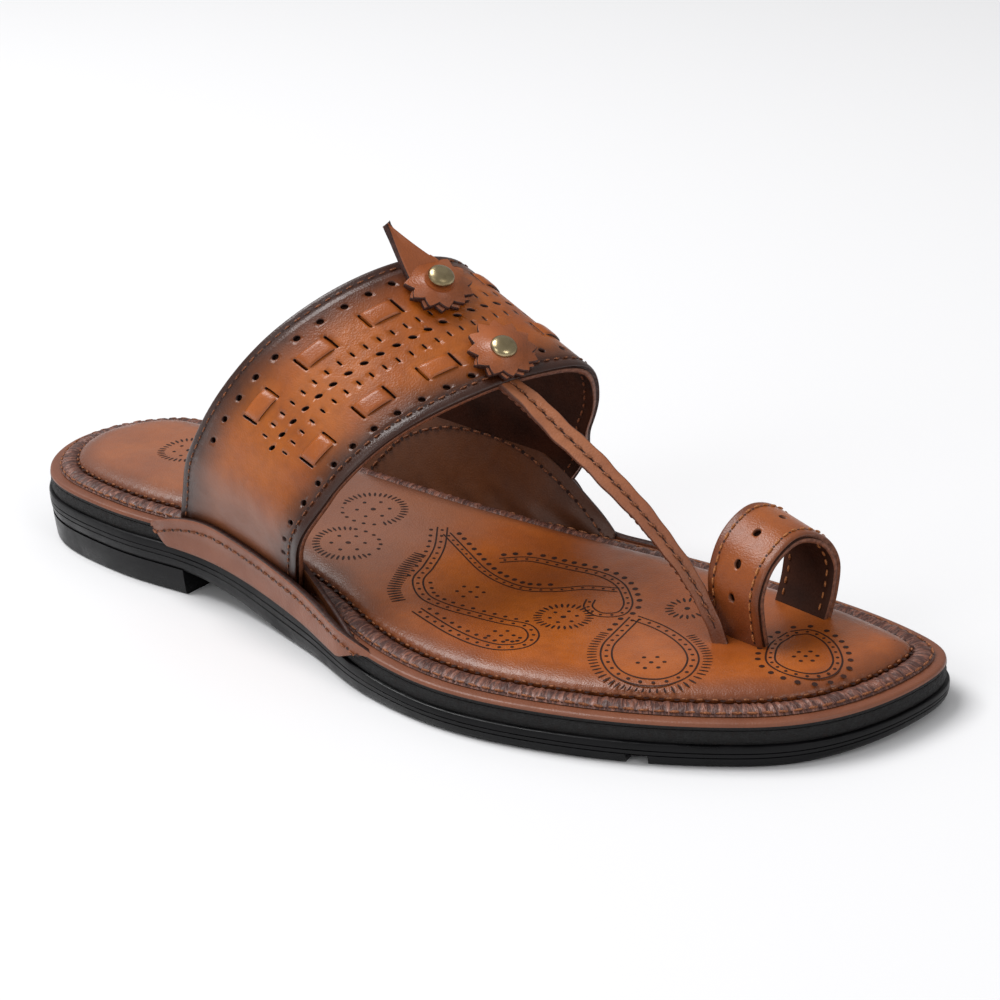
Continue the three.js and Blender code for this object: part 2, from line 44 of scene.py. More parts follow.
# ---- the last's sizes, in millimetres ---------------------------------------------------------
MM = 0.001
LENGTH = 283.0
PLAN_CENTRE = 5.6
HEEL_RIM = 20.2
BALL_RIM = 11.6
SHANK = (66.0, 186.0)
COVER = 2.0
COVER_PAINTED = 1.05
BOARD = 3.0
GAP = 0.3
BREAST = 77.0
HEEL_STEP = 7.0
WAIST_END = 128.0
SPRING_START = 256.0
SPRING = 1.6
RIM_WIDTH = 4.0
STRIP_WIDTH = 5.2
PAD_EDGE = RIM_WIDTH + STRIP_WIDTH + GAP
PAD_HEIGHT = 4.6
PAD_SHOULDER = 4.16
BAND_WALL = 2.8
BAND_SPLIT = 1.5
BAND_INSET = 1.0
FOOT_LEAN = 0.28
FLAP_WALL = 1.8
FLAP_TUCK = 1.7
INNER_JOIN = 2.2
INNER_WALL = 1.2
RING_WALL = 2.6
RING_SPLIT = 1.4
RING_WIDTH = 17.0
ROSETTE_RADIUS = 9.2
ROSETTE_ROOT = 7.3
ROSETTE_TEETH = 12
ROSETTE_WALL = 2.6
RIVET_RADIUS = 3.5
RIVET_HEIGHT = 1.9
SPIKE_WIDTH = 10.5
SPIKE_REACH = 15.0

# station from the heel end, reach to the lateral side, reach to the medial side
PLAN = [
    (4.5, 11, 20.5), (18, 24.4, 33.6), (50, 31.8, 35), (92, 32.4, 33.6), (128, 40.6, 36.4),
    (158, 51.6, 40.4), (188, 55.2, 42.4), (220, 49.2, 41.4), (248, 37.6, 38.8), (268, 23.4, 34),
    (279, 4.6, 28.6),
]
HEEL_END = (0, -4.5)
TOE_END = (LENGTH, -20.5)

# rear edge side and height, front edge side and height, from the lateral foot to the medial foot
BAND_EDGES = [
    (31.3, 19.0, 39.2, 14.2), (35.6, 32.0, 43.0, 26.0), (38.6, 49.0, 44.6, 38.0),
    (36.6, 67.0, 41.6, 52.0), (28.6, 82.0, 32.0, 63.0), (13.0, 92.6, 15.0, 69.4),
    (-6.0, 95.8, -6.0, 71.6), (-22.0, 90.6, -22.6, 68.4), (-32.0, 75.0, -32.6, 56.0),
    (-35.6, 54.0, -36.8, 40.0), (-34.6, 35.0, -37.6, 26.0), (-32.6, 17.0, -38.0, 11.6),
]
# station, side and height of the lateral foot, then the lean across and with height
BAND_REAR = (79, 32, 24, 0.35, 0.60)
BAND_FRONT = (129, 40, 21, 0.33, 0.60)

# station and rise of each flap's top edge over the rim
FLAP_LATERAL = [(62, -2.2), (70, 1.6), (80, 4.8), (91, 6.6), (104, 6.2), (122, 5.6), (140, 4.8),
                (152, 3.0), (166, -1.6)]
FLAP_MEDIAL = [(80, -2.2), (90, 2.2), (102, 6.0), (120, 8.6), (140, 11.4), (154, 12.6),
               (158.5, 9.8), (163, 3.0), (170, 0.9), (186, 0.5), (204, -1.8)]

# toe ring: side and height over its floor; toe strap: station, side and height
RING = [(-0.2, -2.6), (1.4, 6.6), (1.6, 13.8), (-2.4, 21.4), (-11.3, 25.6), (-20.2, 22.4),
        (-25.0, 14.8), (-24.4, 6.6), (-21.2, -2.6)]
RING_STATION = 239.5
RING_TURN = math.radians(-13)
RING_SLOPE = 0.20
STRAP = [(164.5, 1.8, 72.0), (174, 1.8, 67.4), (188, 1.7, 58.6), (202, 1.6, 49.0),
         (215, 1.8, 38.4), (225.2, 2.8, 28.6), (231.4, 3.9, 21.0), (234.6, 4.2, 13.8)]
# where each rosette sits on the band, and how far off it
SEATS = {"upper": (0.531, 0.265, 2.3), "lower": (0.523, 0.825, 0.8)}


# ---- shape helpers ----------------------------------------------------------------------------
def at(s, v, z):
    """Points of the sandal from station, side (lateral positive) and height."""
    s, v, z = np.broadcast_arrays(np.asarray(s, float), np.asarray(v, float), np.asarray(z, float))
    return np.stack([PLAN_CENTRE - v, LENGTH / 2 - s, z], -1)


def smooth(a, b, x):
    t = np.clip((np.asarray(x, float) - a) / (b - a), 0, 1)
    return t * t * (3 - 2 * t)


def mix(a, b, t):
    return a + (b - a) * t


def unit(v):
    return v / np.maximum(np.linalg.norm(v, axis=-1, keepdims=True), 1e-9)


def rim_top(s):
    return mix(HEEL_RIM, BALL_RIM, smooth(*SHANK, s))


def outsole_top(s):
    return rim_top(s) - COVER - BOARD - 2 * GAP


def outsole_bottom(s):
    waist = HEEL_STEP * (1 - smooth(BREAST - 6, WAIST_END, s))
    lift = SPRING * np.clip((np.asarray(s) - SPRING_START) / (LENGTH - SPRING_START), 0, 1) ** 2
    return waist + lift


class Line:
    """A smooth line through rows of numbers, read by its rows or by its length."""

    def __init__(self, rows, closed=False, steps=40):
        p = np.array(rows, float)
        n = len(p)
        spans = n if closed else n - 1
        w = np.linspace(0, 1, steps + 1)[:-1, None]
        parts = []
        for k in range(spans):
            b, c = p[k], p[(k + 1) % n]
            a = p[(k - 1) % n] if closed or k else 2 * p[0] - p[1]
            d = p[(k + 2) % n] if closed or k + 2 < n else 2 * p[-1] - p[-2]
            h = [max(np.linalg.norm(y - x) ** 0.5, 1e-6) for x, y in ((a, b), (b, c), (c, d))]
            m = ((b - a) / h[0] - (c - a) / (h[0] + h[1]) + (c - b) / h[1]) * h[1]
            q = ((c - b) / h[1] - (d - b) / (h[1] + h[2]) + (d - c) / h[2]) * h[1]
            parts.append(b + m * w + (3 * (c - b) - 2 * m - q) * w ** 2
                         + (2 * (b - c) + m + q) * w ** 3)
        parts.append((p[0] if closed else p[-1])[None])
        self.p = np.concatenate(parts)
        self.t = np.linspace(0, 1, len(self.p))
        run = np.r_[0, np.cumsum(np.linalg.norm(np.diff(self.p, axis=0), axis=1))]
        self.length = run[-1]
        self.share = run / run[-1]

    def rows(self, t):
        return np.stack([np.interp(t, self.t, c) for c in self.p.T], -1)

    def run(self, f):
        return np.stack([np.interp(f, self.share, c) for c in self.p.T], -1)

    def going(self, f, e=0.004):
        f = np.asarray(f, float)
        return unit(self.run(np.clip(f + e, 0, 1)) - self.run(np.clip(f - e, 0, 1)))


def sole_outline():
    knots = [HEEL_END] + [(s, a) for s, a, _ in PLAN] + [TOE_END]
    knots += [(s, -b) for s, _, b in reversed(PLAN)]
    loop = Line(knots, closed=True).run(np.arange(360) / 360)
    for _ in range(8):
        loop = loop / 2 + np.roll(loop, 1, 0) / 4 + np.roll(loop, -1, 0) / 4
    return loop


OUTLINE = sole_outline()
STEP = np.roll(OUTLINE, -2, 0) - np.roll(OUTLINE, 2, 0)
INWARD = unit(np.stack([STEP[:, 1], -STEP[:, 0]], -1))
if np.mean(np.sum(INWARD * (OUTLINE.mean(0) - OUTLINE), 1)) < 0:
    INWARD = -INWARD
PERIMETER = np.linalg.norm(np.diff(np.r_[OUTLINE, OUTLINE[:1]], axis=0), axis=1).sum()


def round_sole(u, inset):
    """Station and side on the outline moved inwards, u being the share of the way round."""
    k = np.arange(361) / 360
    wrap = np.mod(u, 1.0)
    read = lambda a: np.interp(wrap, k, np.r_[a, a[:1]])
    s, v = (read(OUTLINE[:, i]) + inset * read(INWARD[:, i]) for i in (0, 1))
    return s, v


def reach(inset, s, lateral):
    """Side reached at a station by the outline moved inwards."""
    loop = OUTLINE + inset * INWARD
    low, high = loop[:, 0].argmin(), loop[:, 0].argmax()
    turned = np.roll(loop, -low, 0)
    cut = (high - low) % len(loop)
    one, two = turned[:cut + 1], np.r_[turned[cut:], turned[:1]][::-1]
    if one[:, 1].mean() < two[:, 1].mean():
        one, two = two, one
    chain = one if lateral else two
    return np.interp(s, chain[:, 0], chain[:, 1])


def edge_distance(s, v, inset):
    loop = OUTLINE + inset * INWARD
    here = np.stack([np.asarray(s, float), np.asarray(v, float)], -1)
    return np.linalg.norm(here[:, None] - loop[None], axis=2).min(1)


def foot_side(lateral, inset, s, over):
    rise = np.maximum(0, over) * FOOT_LEAN
    return np.where(lateral, reach(inset, s, True) + rise, reach(inset, s, False) - rise)


def pad_rise(s, v):
    d = edge_distance(s, v, PAD_EDGE)
    return (PAD_HEIGHT - 3.0) * (1 - np.exp(-d / 4.5)) - 0.9 * smooth(10, 34, d)


def pad_top(s, v):
    return rim_top(s) + 3.0 + pad_rise(s, v)


# ---- mesh helpers -----------------------------------------------------------------------------
def grid(nx, ny, width, height):
    """A flat sheet of cells from 0, 0 to width, height."""
    bm = bmesh.new()
    bmesh.ops.create_grid(bm, x_segments=nx, y_segments=ny, size=0.5)
    bmesh.ops.translate(bm, vec=(0.5, 0.5, 0), verts=bm.verts)
    bmesh.ops.scale(bm, vec=(width, height, 1), verts=bm.verts)
    return bm


def mark(bm):
    """Keeps each corner's flat place as the map that the leather's pattern follows."""
    lay_map = bm.loops.layers.uv.get("lay") or bm.loops.layers.uv.new("lay")
    for face in bm.faces:
        for loop in face.loops:
            loop[lay_map].uv = loop.vert.co.xy


def lay(bm, place):
    """Moves the flat sheet's vertices to place(x, y, z)."""
    verts = bm.verts[:]
    flat = np.array([v.co for v in verts])
    for vert, p in zip(verts, place(*flat.T)):
        vert.co = p


def weld(bm, distance=1e-4):
    bmesh.ops.remove_doubles(bm, verts=bm.verts, dist=distance)


def everything(bm):
    return bm.verts[:] + bm.edges[:] + bm.faces[:]


def cut_across(bm, geom, axis, value):
    """Cuts the geometry where its x or y, axis 0 or 1, has the value."""
    point, normal = [0, 0, 0], [0, 0, 0]
    point[axis], normal[axis] = value, 1
    made = bmesh.ops.bisect_plane(bm, geom=geom, plane_co=point, plane_no=normal, dist=1e-4)
    return made["geom"]


def close_ends(bm):
    bmesh.ops.holes_fill(bm, edges=[e for e in bm.edges if e.is_boundary], sides=0)


def turned_over(bm):
    bmesh.ops.reverse_faces(bm, faces=bm.faces)


def face_along(bm, normal):
    """Turns a sheet over when it looks against the normal."""
    bm.normal_update()
    if sum(f.normal.dot(Vector(normal)) for f in bm.faces) < 0:
        turned_over(bm)


def piece(name, bm, finishes, replaces=(), sharp=42, out=True):
    """The finished mesh as an object that rides on the frame."""
    if out:
        bmesh.ops.recalc_face_normals(bm, faces=bm.faces)
    bmesh.ops.scale(bm, vec=(MM, MM, MM), verts=bm.verts)
    mesh = bpy.data.meshes.new(name)
    bm.to_mesh(mesh)
    bm.free()
    for finish in finishes:
        mesh.materials.append(finish)
    mesh.shade_smooth()
    mesh.set_sharp_from_angle(angle=math.radians(sharp))
    obj = bpy.data.objects.new(name, mesh)
    bpy.context.scene.collection.objects.link(obj)
    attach(obj, "root")
    if replaces:
        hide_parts(*replaces)
    return obj


def wall(obj, thickness):
    """Gives a sheet its thickness, with the rim in the next finish."""
    solid = obj.modifiers.new("wall", "SOLIDIFY")
    solid.thickness = thickness * MM
    solid.offset = -1.0
    solid.use_even_offset = False
    solid.material_offset_rim = 1


def ring_of(bm, cx, cy, half_x, half_y, turn=0.0, square=1.0, sides=12):
    """A closed ring of edges on the flat sheet, for a hole to be cut."""
    made = bmesh.ops.create_circle(bm, segments=sides, radius=1.0)["verts"]
    c, s = math.cos(turn), math.sin(turn)
    for vert in made:
        x = math.copysign(abs(vert.co.x) ** square, vert.co.x) * half_x
        y = math.copysign(abs(vert.co.y) ** square, vert.co.y) * half_y
        vert.co = (cx + x * c - y * s, cy + x * s + y * c, 0)


def punched(width, height, holes, xs, ys):
    """A flat sheet with holes punched, then cut into cells at the xs and ys."""
    bm = grid(1, 1, width, height)
    bmesh.ops.delete(bm, geom=bm.faces[:], context="FACES_ONLY")
    for hole in holes:
        ring_of(bm, **hole)
    bmesh.ops.triangle_fill(bm, use_beauty=True, edges=bm.edges[:], normal=(0, 0, 1))
    for axis, cuts in ((0, xs), (1, ys)):
        for value in cuts:
            cut_across(bm, everything(bm), axis, value)
    return bm


def plate(levels, around, stations, sides, rise_top=None, rise_bottom=None, wobble=None):
    """A solid that follows the sole's outline: walls through the levels, and cut caps."""
    bm = grid(around, len(levels) - 1, PERIMETER, len(levels) - 1)
    mark(bm)
    insets = np.array([level[0] for level in levels])

    def place(x, y, z):
        row = np.rint(y).astype(int)
        inset = insets[row]
        if wobble is not None:
            inset = inset + wobble(x, row)
        s, v = round_sole(x / PERIMETER, inset)
        up = np.choose(row, [level[1](s) for level in levels])
        return at(s, v, up)

    lay(bm, place)
    weld(bm, 1e-3)
    rims = [e for e in bm.edges if e.is_boundary]
    caps = bmesh.ops.edgeloop_fill(bm, edges=rims)["faces"]
    caps.sort(key=lambda f: f.calc_center_median().z)
    for cap, level, rise in ((caps[0], levels[0], rise_bottom), (caps[-1], levels[-1], rise_top)):
        geom = list(cap.verts) + list(cap.edges) + [cap]
        wanted = [(1, LENGTH / 2 - s) for s in stations] + [(0, PLAN_CENTRE - v) for v in sides]
        for axis, value in wanted:
            geom = cut_across(bm, geom, axis, value)
        verts = [g for g in geom if isinstance(g, bmesh.types.BMVert)]
        co = np.array([v.co for v in verts])
        s, v = LENGTH / 2 - co[:, 1], PLAN_CENTRE - co[:, 0]
        up = level[1](s) + (rise(s, v) if rise else 0)
        for vert, z in zip(verts, up):
            vert.co.z = z
    return bm


def frame_matrix(centre, along, normal, sizes):
    """Places a unit shape: x along, z on the normal, with a size for each axis."""
    along = unit(np.asarray(along, float))
    normal = np.asarray(normal, float)
    normal = unit(normal - along * (normal @ along))
    cross = np.cross(normal, along)
    turn = Matrix([list(r) for r in np.stack([along, cross, normal], 1)]).to_4x4()
    return Matrix.Translation(Vector(centre)) @ turn @ Matrix.Diagonal((*sizes, 1))


def join_in(whole, bm):
    """Adds a finished part to a larger one."""
    held = bpy.data.meshes.new("held")
    bm.to_mesh(held)
    bm.free()
    whole.from_mesh(held)
    bpy.data.meshes.remove(held)


# Small parts are made this many at a time, because a mesh operator slows down as its mesh grows.
BATCH = 20


def along_row(points, normals, pitch, phase, more=0):
    """Evenly spaced places down a line: middle, direction, and the way out of the leather."""
    points = np.asarray(points, float)
    run = np.r_[0, np.cumsum(np.linalg.norm(np.diff(points, axis=0), axis=1))]
    count = max(1, int(run[-1] / pitch))
    read = lambda table, d: np.array([np.interp(d, run, c) for c in np.asarray(table).T])
    for k in range(count + more):
        d = (k + phase) * run[-1] / count
        go = unit(read(points, min(d + 0.4, run[-1])) - read(points, max(d - 0.4, 0)))
        yield read(points, d), go, unit(read(normals, d))


def thread_row(bm, points, normals, pitch, length, radius, sink=0.35, lean=0.0, phase=0.5):
    """Stitches laid end to end along a line of points."""
    few = bmesh.new()
    for k, (centre, go, up) in enumerate(along_row(points, normals, pitch, phase)):
        if k % BATCH == BATCH - 1:
            join_in(bm, few)
            few = bmesh.new()
        go = unit(go + lean * np.cross(up, go) + up * rng.normal(0, 0.05))
        size = radius * rng.uniform(0.88, 1.1)
        centre = centre + up * (size * (1 - sink)) + np.cross(up, go) * rng.normal(0, 0.05)
        bmesh.ops.create_uvsphere(
            few, u_segments=6, v_segments=5, radius=1,
            matrix=frame_matrix(centre, go, up, (length / 2 * rng.uniform(0.9, 1.08), size, size)))
    join_in(bm, few)


def pit_row(bm, points, normals, pitch, size, lift=0.05, phase=0.0, stretch=1.0):
    """Small dark pits where the thread goes down, laid on the leather as painted shade for the
    stitch holes.
    """
    few = bmesh.new()
    for k, (centre, go, up) in enumerate(along_row(points, normals, pitch, phase, 1)):
        if k % BATCH == BATCH - 1:
            join_in(bm, few)
            few = bmesh.new()
        bmesh.ops.create_circle(
            few, cap_ends=True, segments=8, radius=1,
            matrix=frame_matrix(centre + up * lift, go, up, (size * stretch, size, 1)))
    join_in(bm, few)


# ---- finishes ---------------------------------------------------------------------------------
class Wire:
    """One socket of a finish; sums on wires become Math nodes."""

    def __init__(self, finish, socket):
        self.finish = finish
        self.socket = socket

    def math(self, operation, *others):
        sockets = {k: other for k, other in enumerate((self, *others))}
        return self.finish.node("ShaderNodeMath", {"operation": operation}, sockets)

    def __add__(self, other):
        return self.math("ADD", other)

    __radd__ = __add__

    def __mul__(self, other):
        return self.math("MULTIPLY", other)

    __rmul__ = __mul__

    def __sub__(self, other):
        return self.math("SUBTRACT", other)

    def __rsub__(self, other):
        return self.finish.node("ShaderNodeMath", {"operation": "SUBTRACT"}, {0: other, 1: self})

    def step(self, low, high, to_low=0.0, to_high=1.0):
        return self.finish.node(
            "ShaderNodeMapRange", {"interpolation_type": "SMOOTHSTEP", "clamp": True},
            {"Value": self, "From Min": low, "From Max": high, "To Min": to_low, "To Max": to_high})


class Finish:
    """A material being made. node() adds any node and gives back one of its outputs."""

    def __init__(self, name, **fixed):
        self.material = bpy.data.materials.new(name)
        self.material.use_nodes = True
        self.tree = self.material.node_tree
        self.tree.nodes.clear()
        self.shader = self.tree.nodes.new("ShaderNodeBsdfPrincipled")
        output = self.tree.nodes.new("ShaderNodeOutputMaterial")
        self.tree.links.new(self.shader.outputs["BSDF"], output.inputs["Surface"])
        for key, value in fixed.items():
            self.shader.inputs[key.replace("_", " ")].default_value = value

    def node(self, kind, settings=None, sockets=None, out=0):
        made = self.tree.nodes.new(kind)
        for key, value in (settings or {}).items():
            setattr(made, key, value)
        for key, value in (sockets or {}).items():
            if isinstance(key, str):
                socket = next(s for s in made.inputs if key in (s.identifier, s.name))
            else:
                socket = made.inputs[key]
            self.feed(socket, value)
        if isinstance(out, str):
            return Wire(self, next(s for s in made.outputs if out in (s.identifier, s.name)))
        return Wire(self, made.outputs[out])

    def feed(self, socket, value):
        if isinstance(value, Wire):
            self.tree.links.new(value.socket, socket)
        else:
            socket.default_value = value

    def place(self):
        return self.node("ShaderNodeTexCoord", out="Object")

    def lay(self):
        """The pattern map's x and y, in millimetres."""
        split = self.node("ShaderNodeUVMap", {"uv_map": "lay"})
        x = self.node("ShaderNodeSeparateXYZ", None, {0: split}, "X")
        return x, self.node("ShaderNodeSeparateXYZ", None, {0: split}, "Y")

    def noise(self, scale, detail=3.0, rough=0.5, twist=0.0, vector=None):
        return self.node(
            "ShaderNodeTexNoise", None,
            {"Vector": vector or self.place(), "Scale": scale, "Detail": detail,
             "Roughness": rough, "Distortion": twist}, "Fac")

    def blend(self, amount, a, b):
        return self.node(
            "ShaderNodeMix", {"data_type": "RGBA"},
            {"Factor_Float": amount, "A_Color": a, "B_Color": b}, "Result_Color")

    def stretched(self, scale):
        return self.node("ShaderNodeVectorMath", {"operation": "MULTIPLY"},
                         {0: self.place(), 1: scale})

    def set(self, **wires):
        for key, value in wires.items():
            self.feed(self.shader.inputs[key.replace("_", " ")], value)
        return self

    def bump(self, height, distance, strength=1.0, under=None):
        sockets = {"Height": height, "Distance": distance * MM, "Strength": strength}
        if under is not None:
            sockets["Normal"] = under
        return self.node("ShaderNodeBump", None, sockets)


def colour(red, green, blue):
    """A finish's colour from the 0 to 255 numbers of a colour card."""
    return (*[(c / 255) ** 2.2 for c in (red, green, blue)], 1.0)


ORANGE_TAN = colour(166, 88, 24)
CHESTNUT = colour(112, 62, 40)
BURNT = colour(62, 34, 26)


def grain(finish, depth=0.05, fine=1.0):
    """Calf grain: small pebbles with soft pores between, and a slow waviness."""
    cells = finish.node("ShaderNodeTexVoronoi", {"feature": "SMOOTH_F1"},
                        {"Vector": finish.place(), "Scale": 2100.0 * fine, "Smoothness": 0.6},
                        "Distance")
    pores = finish.noise(3600.0 * fine, 2.0)
    slow = finish.noise(90.0, 2.0)
    height = cells * 0.7 + pores * 0.4
    first = finish.bump(slow, 1.0, 0.4)
    return finish.bump(height, depth, 0.75, first)


def leather(name, light, deep, burnt, burn=None, roughness=0.40, depth=0.06, coat=0.12,
            more_bump=None, painted_sheen=None, sheen_colour=None):
    """Dyed and hand-burnished leather.

    burn(finish) gives how far it has gone dark, and the sheen function how far the colour turns to
    the sheen colour: a painted sheen.
    """
    finish = Finish(name, Coat_Roughness=0.32, Specular_IOR_Level=0.45, IOR=1.48)
    finish.shader.inputs["Coat Weight"].default_value = coat
    cloud = finish.noise(38.0, 3.0, 0.55).step(0.34, 0.66)
    fleck = finish.noise(420.0, 3.0, 0.6).step(0.35, 0.75)
    base = finish.blend(cloud * 0.8, light, deep)
    base = finish.blend(fleck * 0.16, base, burnt)
    normal = grain(finish, depth)
    if more_bump is not None:
        normal = more_bump(finish, normal)
    gloss = finish.noise(160.0, 3.0).step(0.3, 0.7, roughness - 0.05, roughness + 0.06)
    # painted sheen: reflection painted into the base colour
    if painted_sheen is not None:
        base = finish.blend(painted_sheen(finish), base, sheen_colour)
    if burn is not None:
        base = finish.blend(burn(finish), base, burnt)
    return finish.set(Base_Color=base, Roughness=gloss, Normal=normal).material


def band_burn(finish):
    """Dark along both long edges, with a ragged inner side."""
    _, y = finish.lay()
    ragged = finish.noise(75.0, 3.0, 0.6) * 9.0 - 4.5
    edge = y.math("MINIMUM", BAND_WIDTH - y) + ragged * 0.8
    return edge.step(1.0, 14.5, 0.94, 0.0)


def band_painted_sheen(finish):
    """Rosy brown towards both feet: a painted sheen, reflection painted into the colour."""
    x, _ = finish.lay()
    foot = x.math("MINIMUM", BAND_LENGTH - x) + finish.noise(55.0, 3.0, 0.6) * 16.0 - 8.0
    return foot.step(10.0, 44.0, 0.85, 0.0)


def pad_painted_sheen(finish):
    """A greyish rosy painted sheen across the waist and a paler one over the heel: reflection
    painted into the colour.
    """
    split = finish.node("ShaderNodeSeparateXYZ", None, {0: finish.place()}, "Y")
    along = split * 1000.0 + finish.noise(24.0, 3.0, 0.6) * 34.0 - 17.0
    waist = along.step(-14.0, 8.0).math("MINIMUM", along.step(48.0, 82.0, 1.0, 0.62))
    return waist * 0.62


def ring_burn(finish):
    """Darker at both edges and towards the loop's last foot."""
    x, y = finish.lay()
    edge = y.math("MINIMUM", RING_WIDTH - y) + finish.noise(90.0, 3.0, 0.6) * 3.0 - 1.5
    foot = x.math("MINIMUM", RING_LINE.length - x) + finish.noise(60.0, 3.0, 0.6) * 8.0 - 4.0
    return edge.step(0.2, 3.6, 0.6, 0.0).math("MAXIMUM", foot.step(2.0, 20.0, 0.55, 0.0))


def strap_burn(finish):
    """Darker down its sides and towards the toe."""
    x, y = finish.lay()
    low = x.step(40.0, 92.0, 0.0, 0.55) * finish.noise(120.0, 3.0, 0.6).step(0.3, 0.6, 0.55, 1.0)
    side = (y - 0.25).math("ABSOLUTE").step(0.13, 0.2, 0.0, 0.85)
    return low.math("MAXIMUM", side)


def pad_burn(finish):
    """Dark where the insole turns down to its stitches, and in a few soft patches."""
    edge = finish.node("ShaderNodeAttribute", {"attribute_name": "edge"}, None, "Fac")
    ragged = finish.noise(60.0, 3.0, 0.6) * 5.0 - 2.5
    near = (edge + ragged).step(0.4, 8.5, 0.62, 0.0)
    patches = finish.noise(17.0, 2.0, 0.5).step(0.52, 0.78, 0.0, 0.30)
    return near.math("MAXIMUM", patches)


def rubber(name, rough=0.26):
    finish = Finish(name, Specular_IOR_Level=0.2, IOR=1.5)
    smear = finish.noise(70.0, 4.0, 0.6).step(0.3, 0.75)
    dust = finish.noise(900.0, 4.0, 0.7).step(0.62, 0.8)
    base = finish.blend(smear * 0.7, colour(9, 9, 11), colour(19, 18, 21))
    base = finish.blend(dust * 0.3, base, colour(52, 50, 51))
    long = finish.stretched((60.0, 60.0, 900.0))
    brushed = finish.noise(6.0, 3.0, 0.6, 0.0, long)
    normal = finish.bump(brushed, 0.10, 0.5, finish.bump(finish.noise(500.0, 3.0), 0.08, 0.5))
    return finish.set(
        Base_Color=base, Roughness=smear.step(0.0, 1.0, rough, rough + 0.2), Normal=normal).material


def painted_board(name):
    finish = Finish(name, Specular_IOR_Level=0.4)
    lumps = finish.noise(700.0, 5.0, 0.7)
    fibre = finish.noise(5.0, 4.0, 0.7, 0.0, finish.stretched((80.0, 80.0, 420.0)))
    base = finish.blend(lumps.step(0.5, 0.75) * 0.6, colour(12, 10, 11), colour(40, 30, 28))
    normal = finish.bump(fibre, 0.5, 0.9, finish.bump(lumps, 0.45, 0.9))
    return finish.set(Base_Color=base, Roughness=lumps.step(0.2, 0.8, 0.5, 0.85),
                      Normal=normal).material


def cut_edge(name, light, dark):
    """The cut and waxed edge of the leather: fibres run along it."""
    finish = Finish(name, Specular_IOR_Level=0.4)
    fibre = finish.noise(900.0, 4.0, 0.7)
    base = finish.blend(fibre.step(0.35, 0.7), light, dark)
    normal = finish.bump(fibre, 0.18, 0.8)
    return finish.set(Base_Color=base, Roughness=fibre.step(0.2, 0.8, 0.42, 0.7),
                      Normal=normal).material


def waxed_thread(name, light, dark):
    finish = Finish(name, Specular_IOR_Level=0.35)
    twist = finish.noise(2600.0, 2.0)
    base = finish.blend(twist.step(0.3, 0.7), light, dark)
    return finish.set(Base_Color=base, Roughness=0.62,
                      Normal=finish.bump(twist, 0.08, 0.7)).material


def suede(name, light, dark):
    finish = Finish(name, Specular_IOR_Level=0.25)
    nap = finish.noise(1400.0, 4.0, 0.7)
    cloud = finish.noise(70.0, 3.0).step(0.3, 0.7)
    base = finish.blend(cloud, light, dark)
    base = finish.blend(nap.step(0.5, 0.8) * 0.4, base, dark)
    return finish.set(Base_Color=base, Roughness=nap.step(0.2, 0.8, 0.55, 0.85),
                      Normal=finish.bump(nap, 0.16, 0.8)).material


def gathered(name):
    """The binding strip, drawn up into fine ribs with shining crests; the crests carry a painted
    highlight and the furrows painted shade.
    """
    finish = Finish(name, Specular_IOR_Level=0.5, Coat_Roughness=0.3)
    finish.shader.inputs["Coat Weight"].default_value = 0.15
    x, y = finish.lay()
    joined = finish.node("ShaderNodeCombineXYZ", None, {"X": x * 0.95 + y * 0.12, "Y": y * 0.22})
    rib = finish.noise(1.0, 3.0, 0.65, 0.6, joined)
    crack = finish.noise(700.0, 3.0, 0.6)
    crest_highlight = rib.step(0.42, 0.66)
    # painted highlight on the rib crests and painted shade in the furrows between them
    base = finish.blend(crest_highlight, colour(72, 40, 32), colour(136, 88, 72))
    base = finish.blend(crack.step(0.55, 0.8) * 0.5, base, colour(58, 34, 27))
    normal = finish.bump(rib, 1.1, 0.8, finish.bump(crack, 0.12, 0.6))
    return finish.set(Base_Color=base, Roughness=crest_highlight.step(0.0, 1.0, 0.55, 0.34),
                      Normal=normal).material


def brass(name):
    finish = Finish(name, Metallic=1.0)
    tarnish = finish.noise(300.0, 3.0, 0.55).step(0.35, 0.75)
    base = finish.blend(tarnish * 0.7, colour(172, 156, 122), colour(104, 92, 68))
    normal = finish.bump(finish.noise(1500.0, 3.0), 0.02, 0.6)
    return finish.set(Base_Color=base, Roughness=tarnish.step(0.0, 1.0, 0.24, 0.42),
                      Normal=normal).material


def scorched(name):
    """Burnt-in ornament: dark, dry and a little uneven."""
    finish = Finish(name, Specular_IOR_Level=0.3)
    uneven = finish.noise(260.0, 3.0, 0.6).step(0.3, 0.75)
    base = finish.blend(uneven * 0.5, colour(38, 19, 13), colour(72, 36, 23))
    return finish.set(Base_Color=base, Roughness=0.55).material


def edge_rubbed(finish, normal):
    """The stitched channel, a shallow furrow beside each long edge of the band."""
    _, y = finish.lay()
    edge = y.math("MINIMUM", BAND_WIDTH - y)
    furrow = (edge - 3.1).math("ABSOLUTE").step(0.0, 1.2)
    return finish.bump(furrow, 0.28, 0.8, normal)


# ---- the band's surface -----------------------------------------------------------------------
def band_edge(side, up, lean):
    station, foot_side_at, foot_up, across, rise = lean
    return Line([at(station + (foot_side_at - row[side]) * across + (row[up] - foot_up) * rise,
                    row[side], row[up]) for row in BAND_EDGES])


REAR_EDGE = band_edge(0, 1, BAND_REAR)
FRONT_EDGE = band_edge(2, 3, BAND_FRONT)
BAND_WIDTH = 47.0


def band_point(across, along):
    p = mix(REAR_EDGE.rows(across), FRONT_EDGE.rows(across), np.asarray(along)[..., None])
    s = LENGTH / 2 - p[..., 1]
    over = p[..., 2] - rim_top(s)
    held = foot_side(np.asarray(across) < 0.5, BAND_INSET, s, over)
    p[..., 0] = mix(p[..., 0], PLAN_CENTRE - held, 1 - smooth(13, 34, over))
    return p


def band_normal(across, along):
    e = 0.004
    u = band_point(np.minimum(1, across + e), along) - band_point(np.maximum(0, across - e), along)
    v = band_point(across, np.minimum(1, along + e)) - band_point(across, np.maximum(0, along - e))
    return unit(np.cross(v, u))


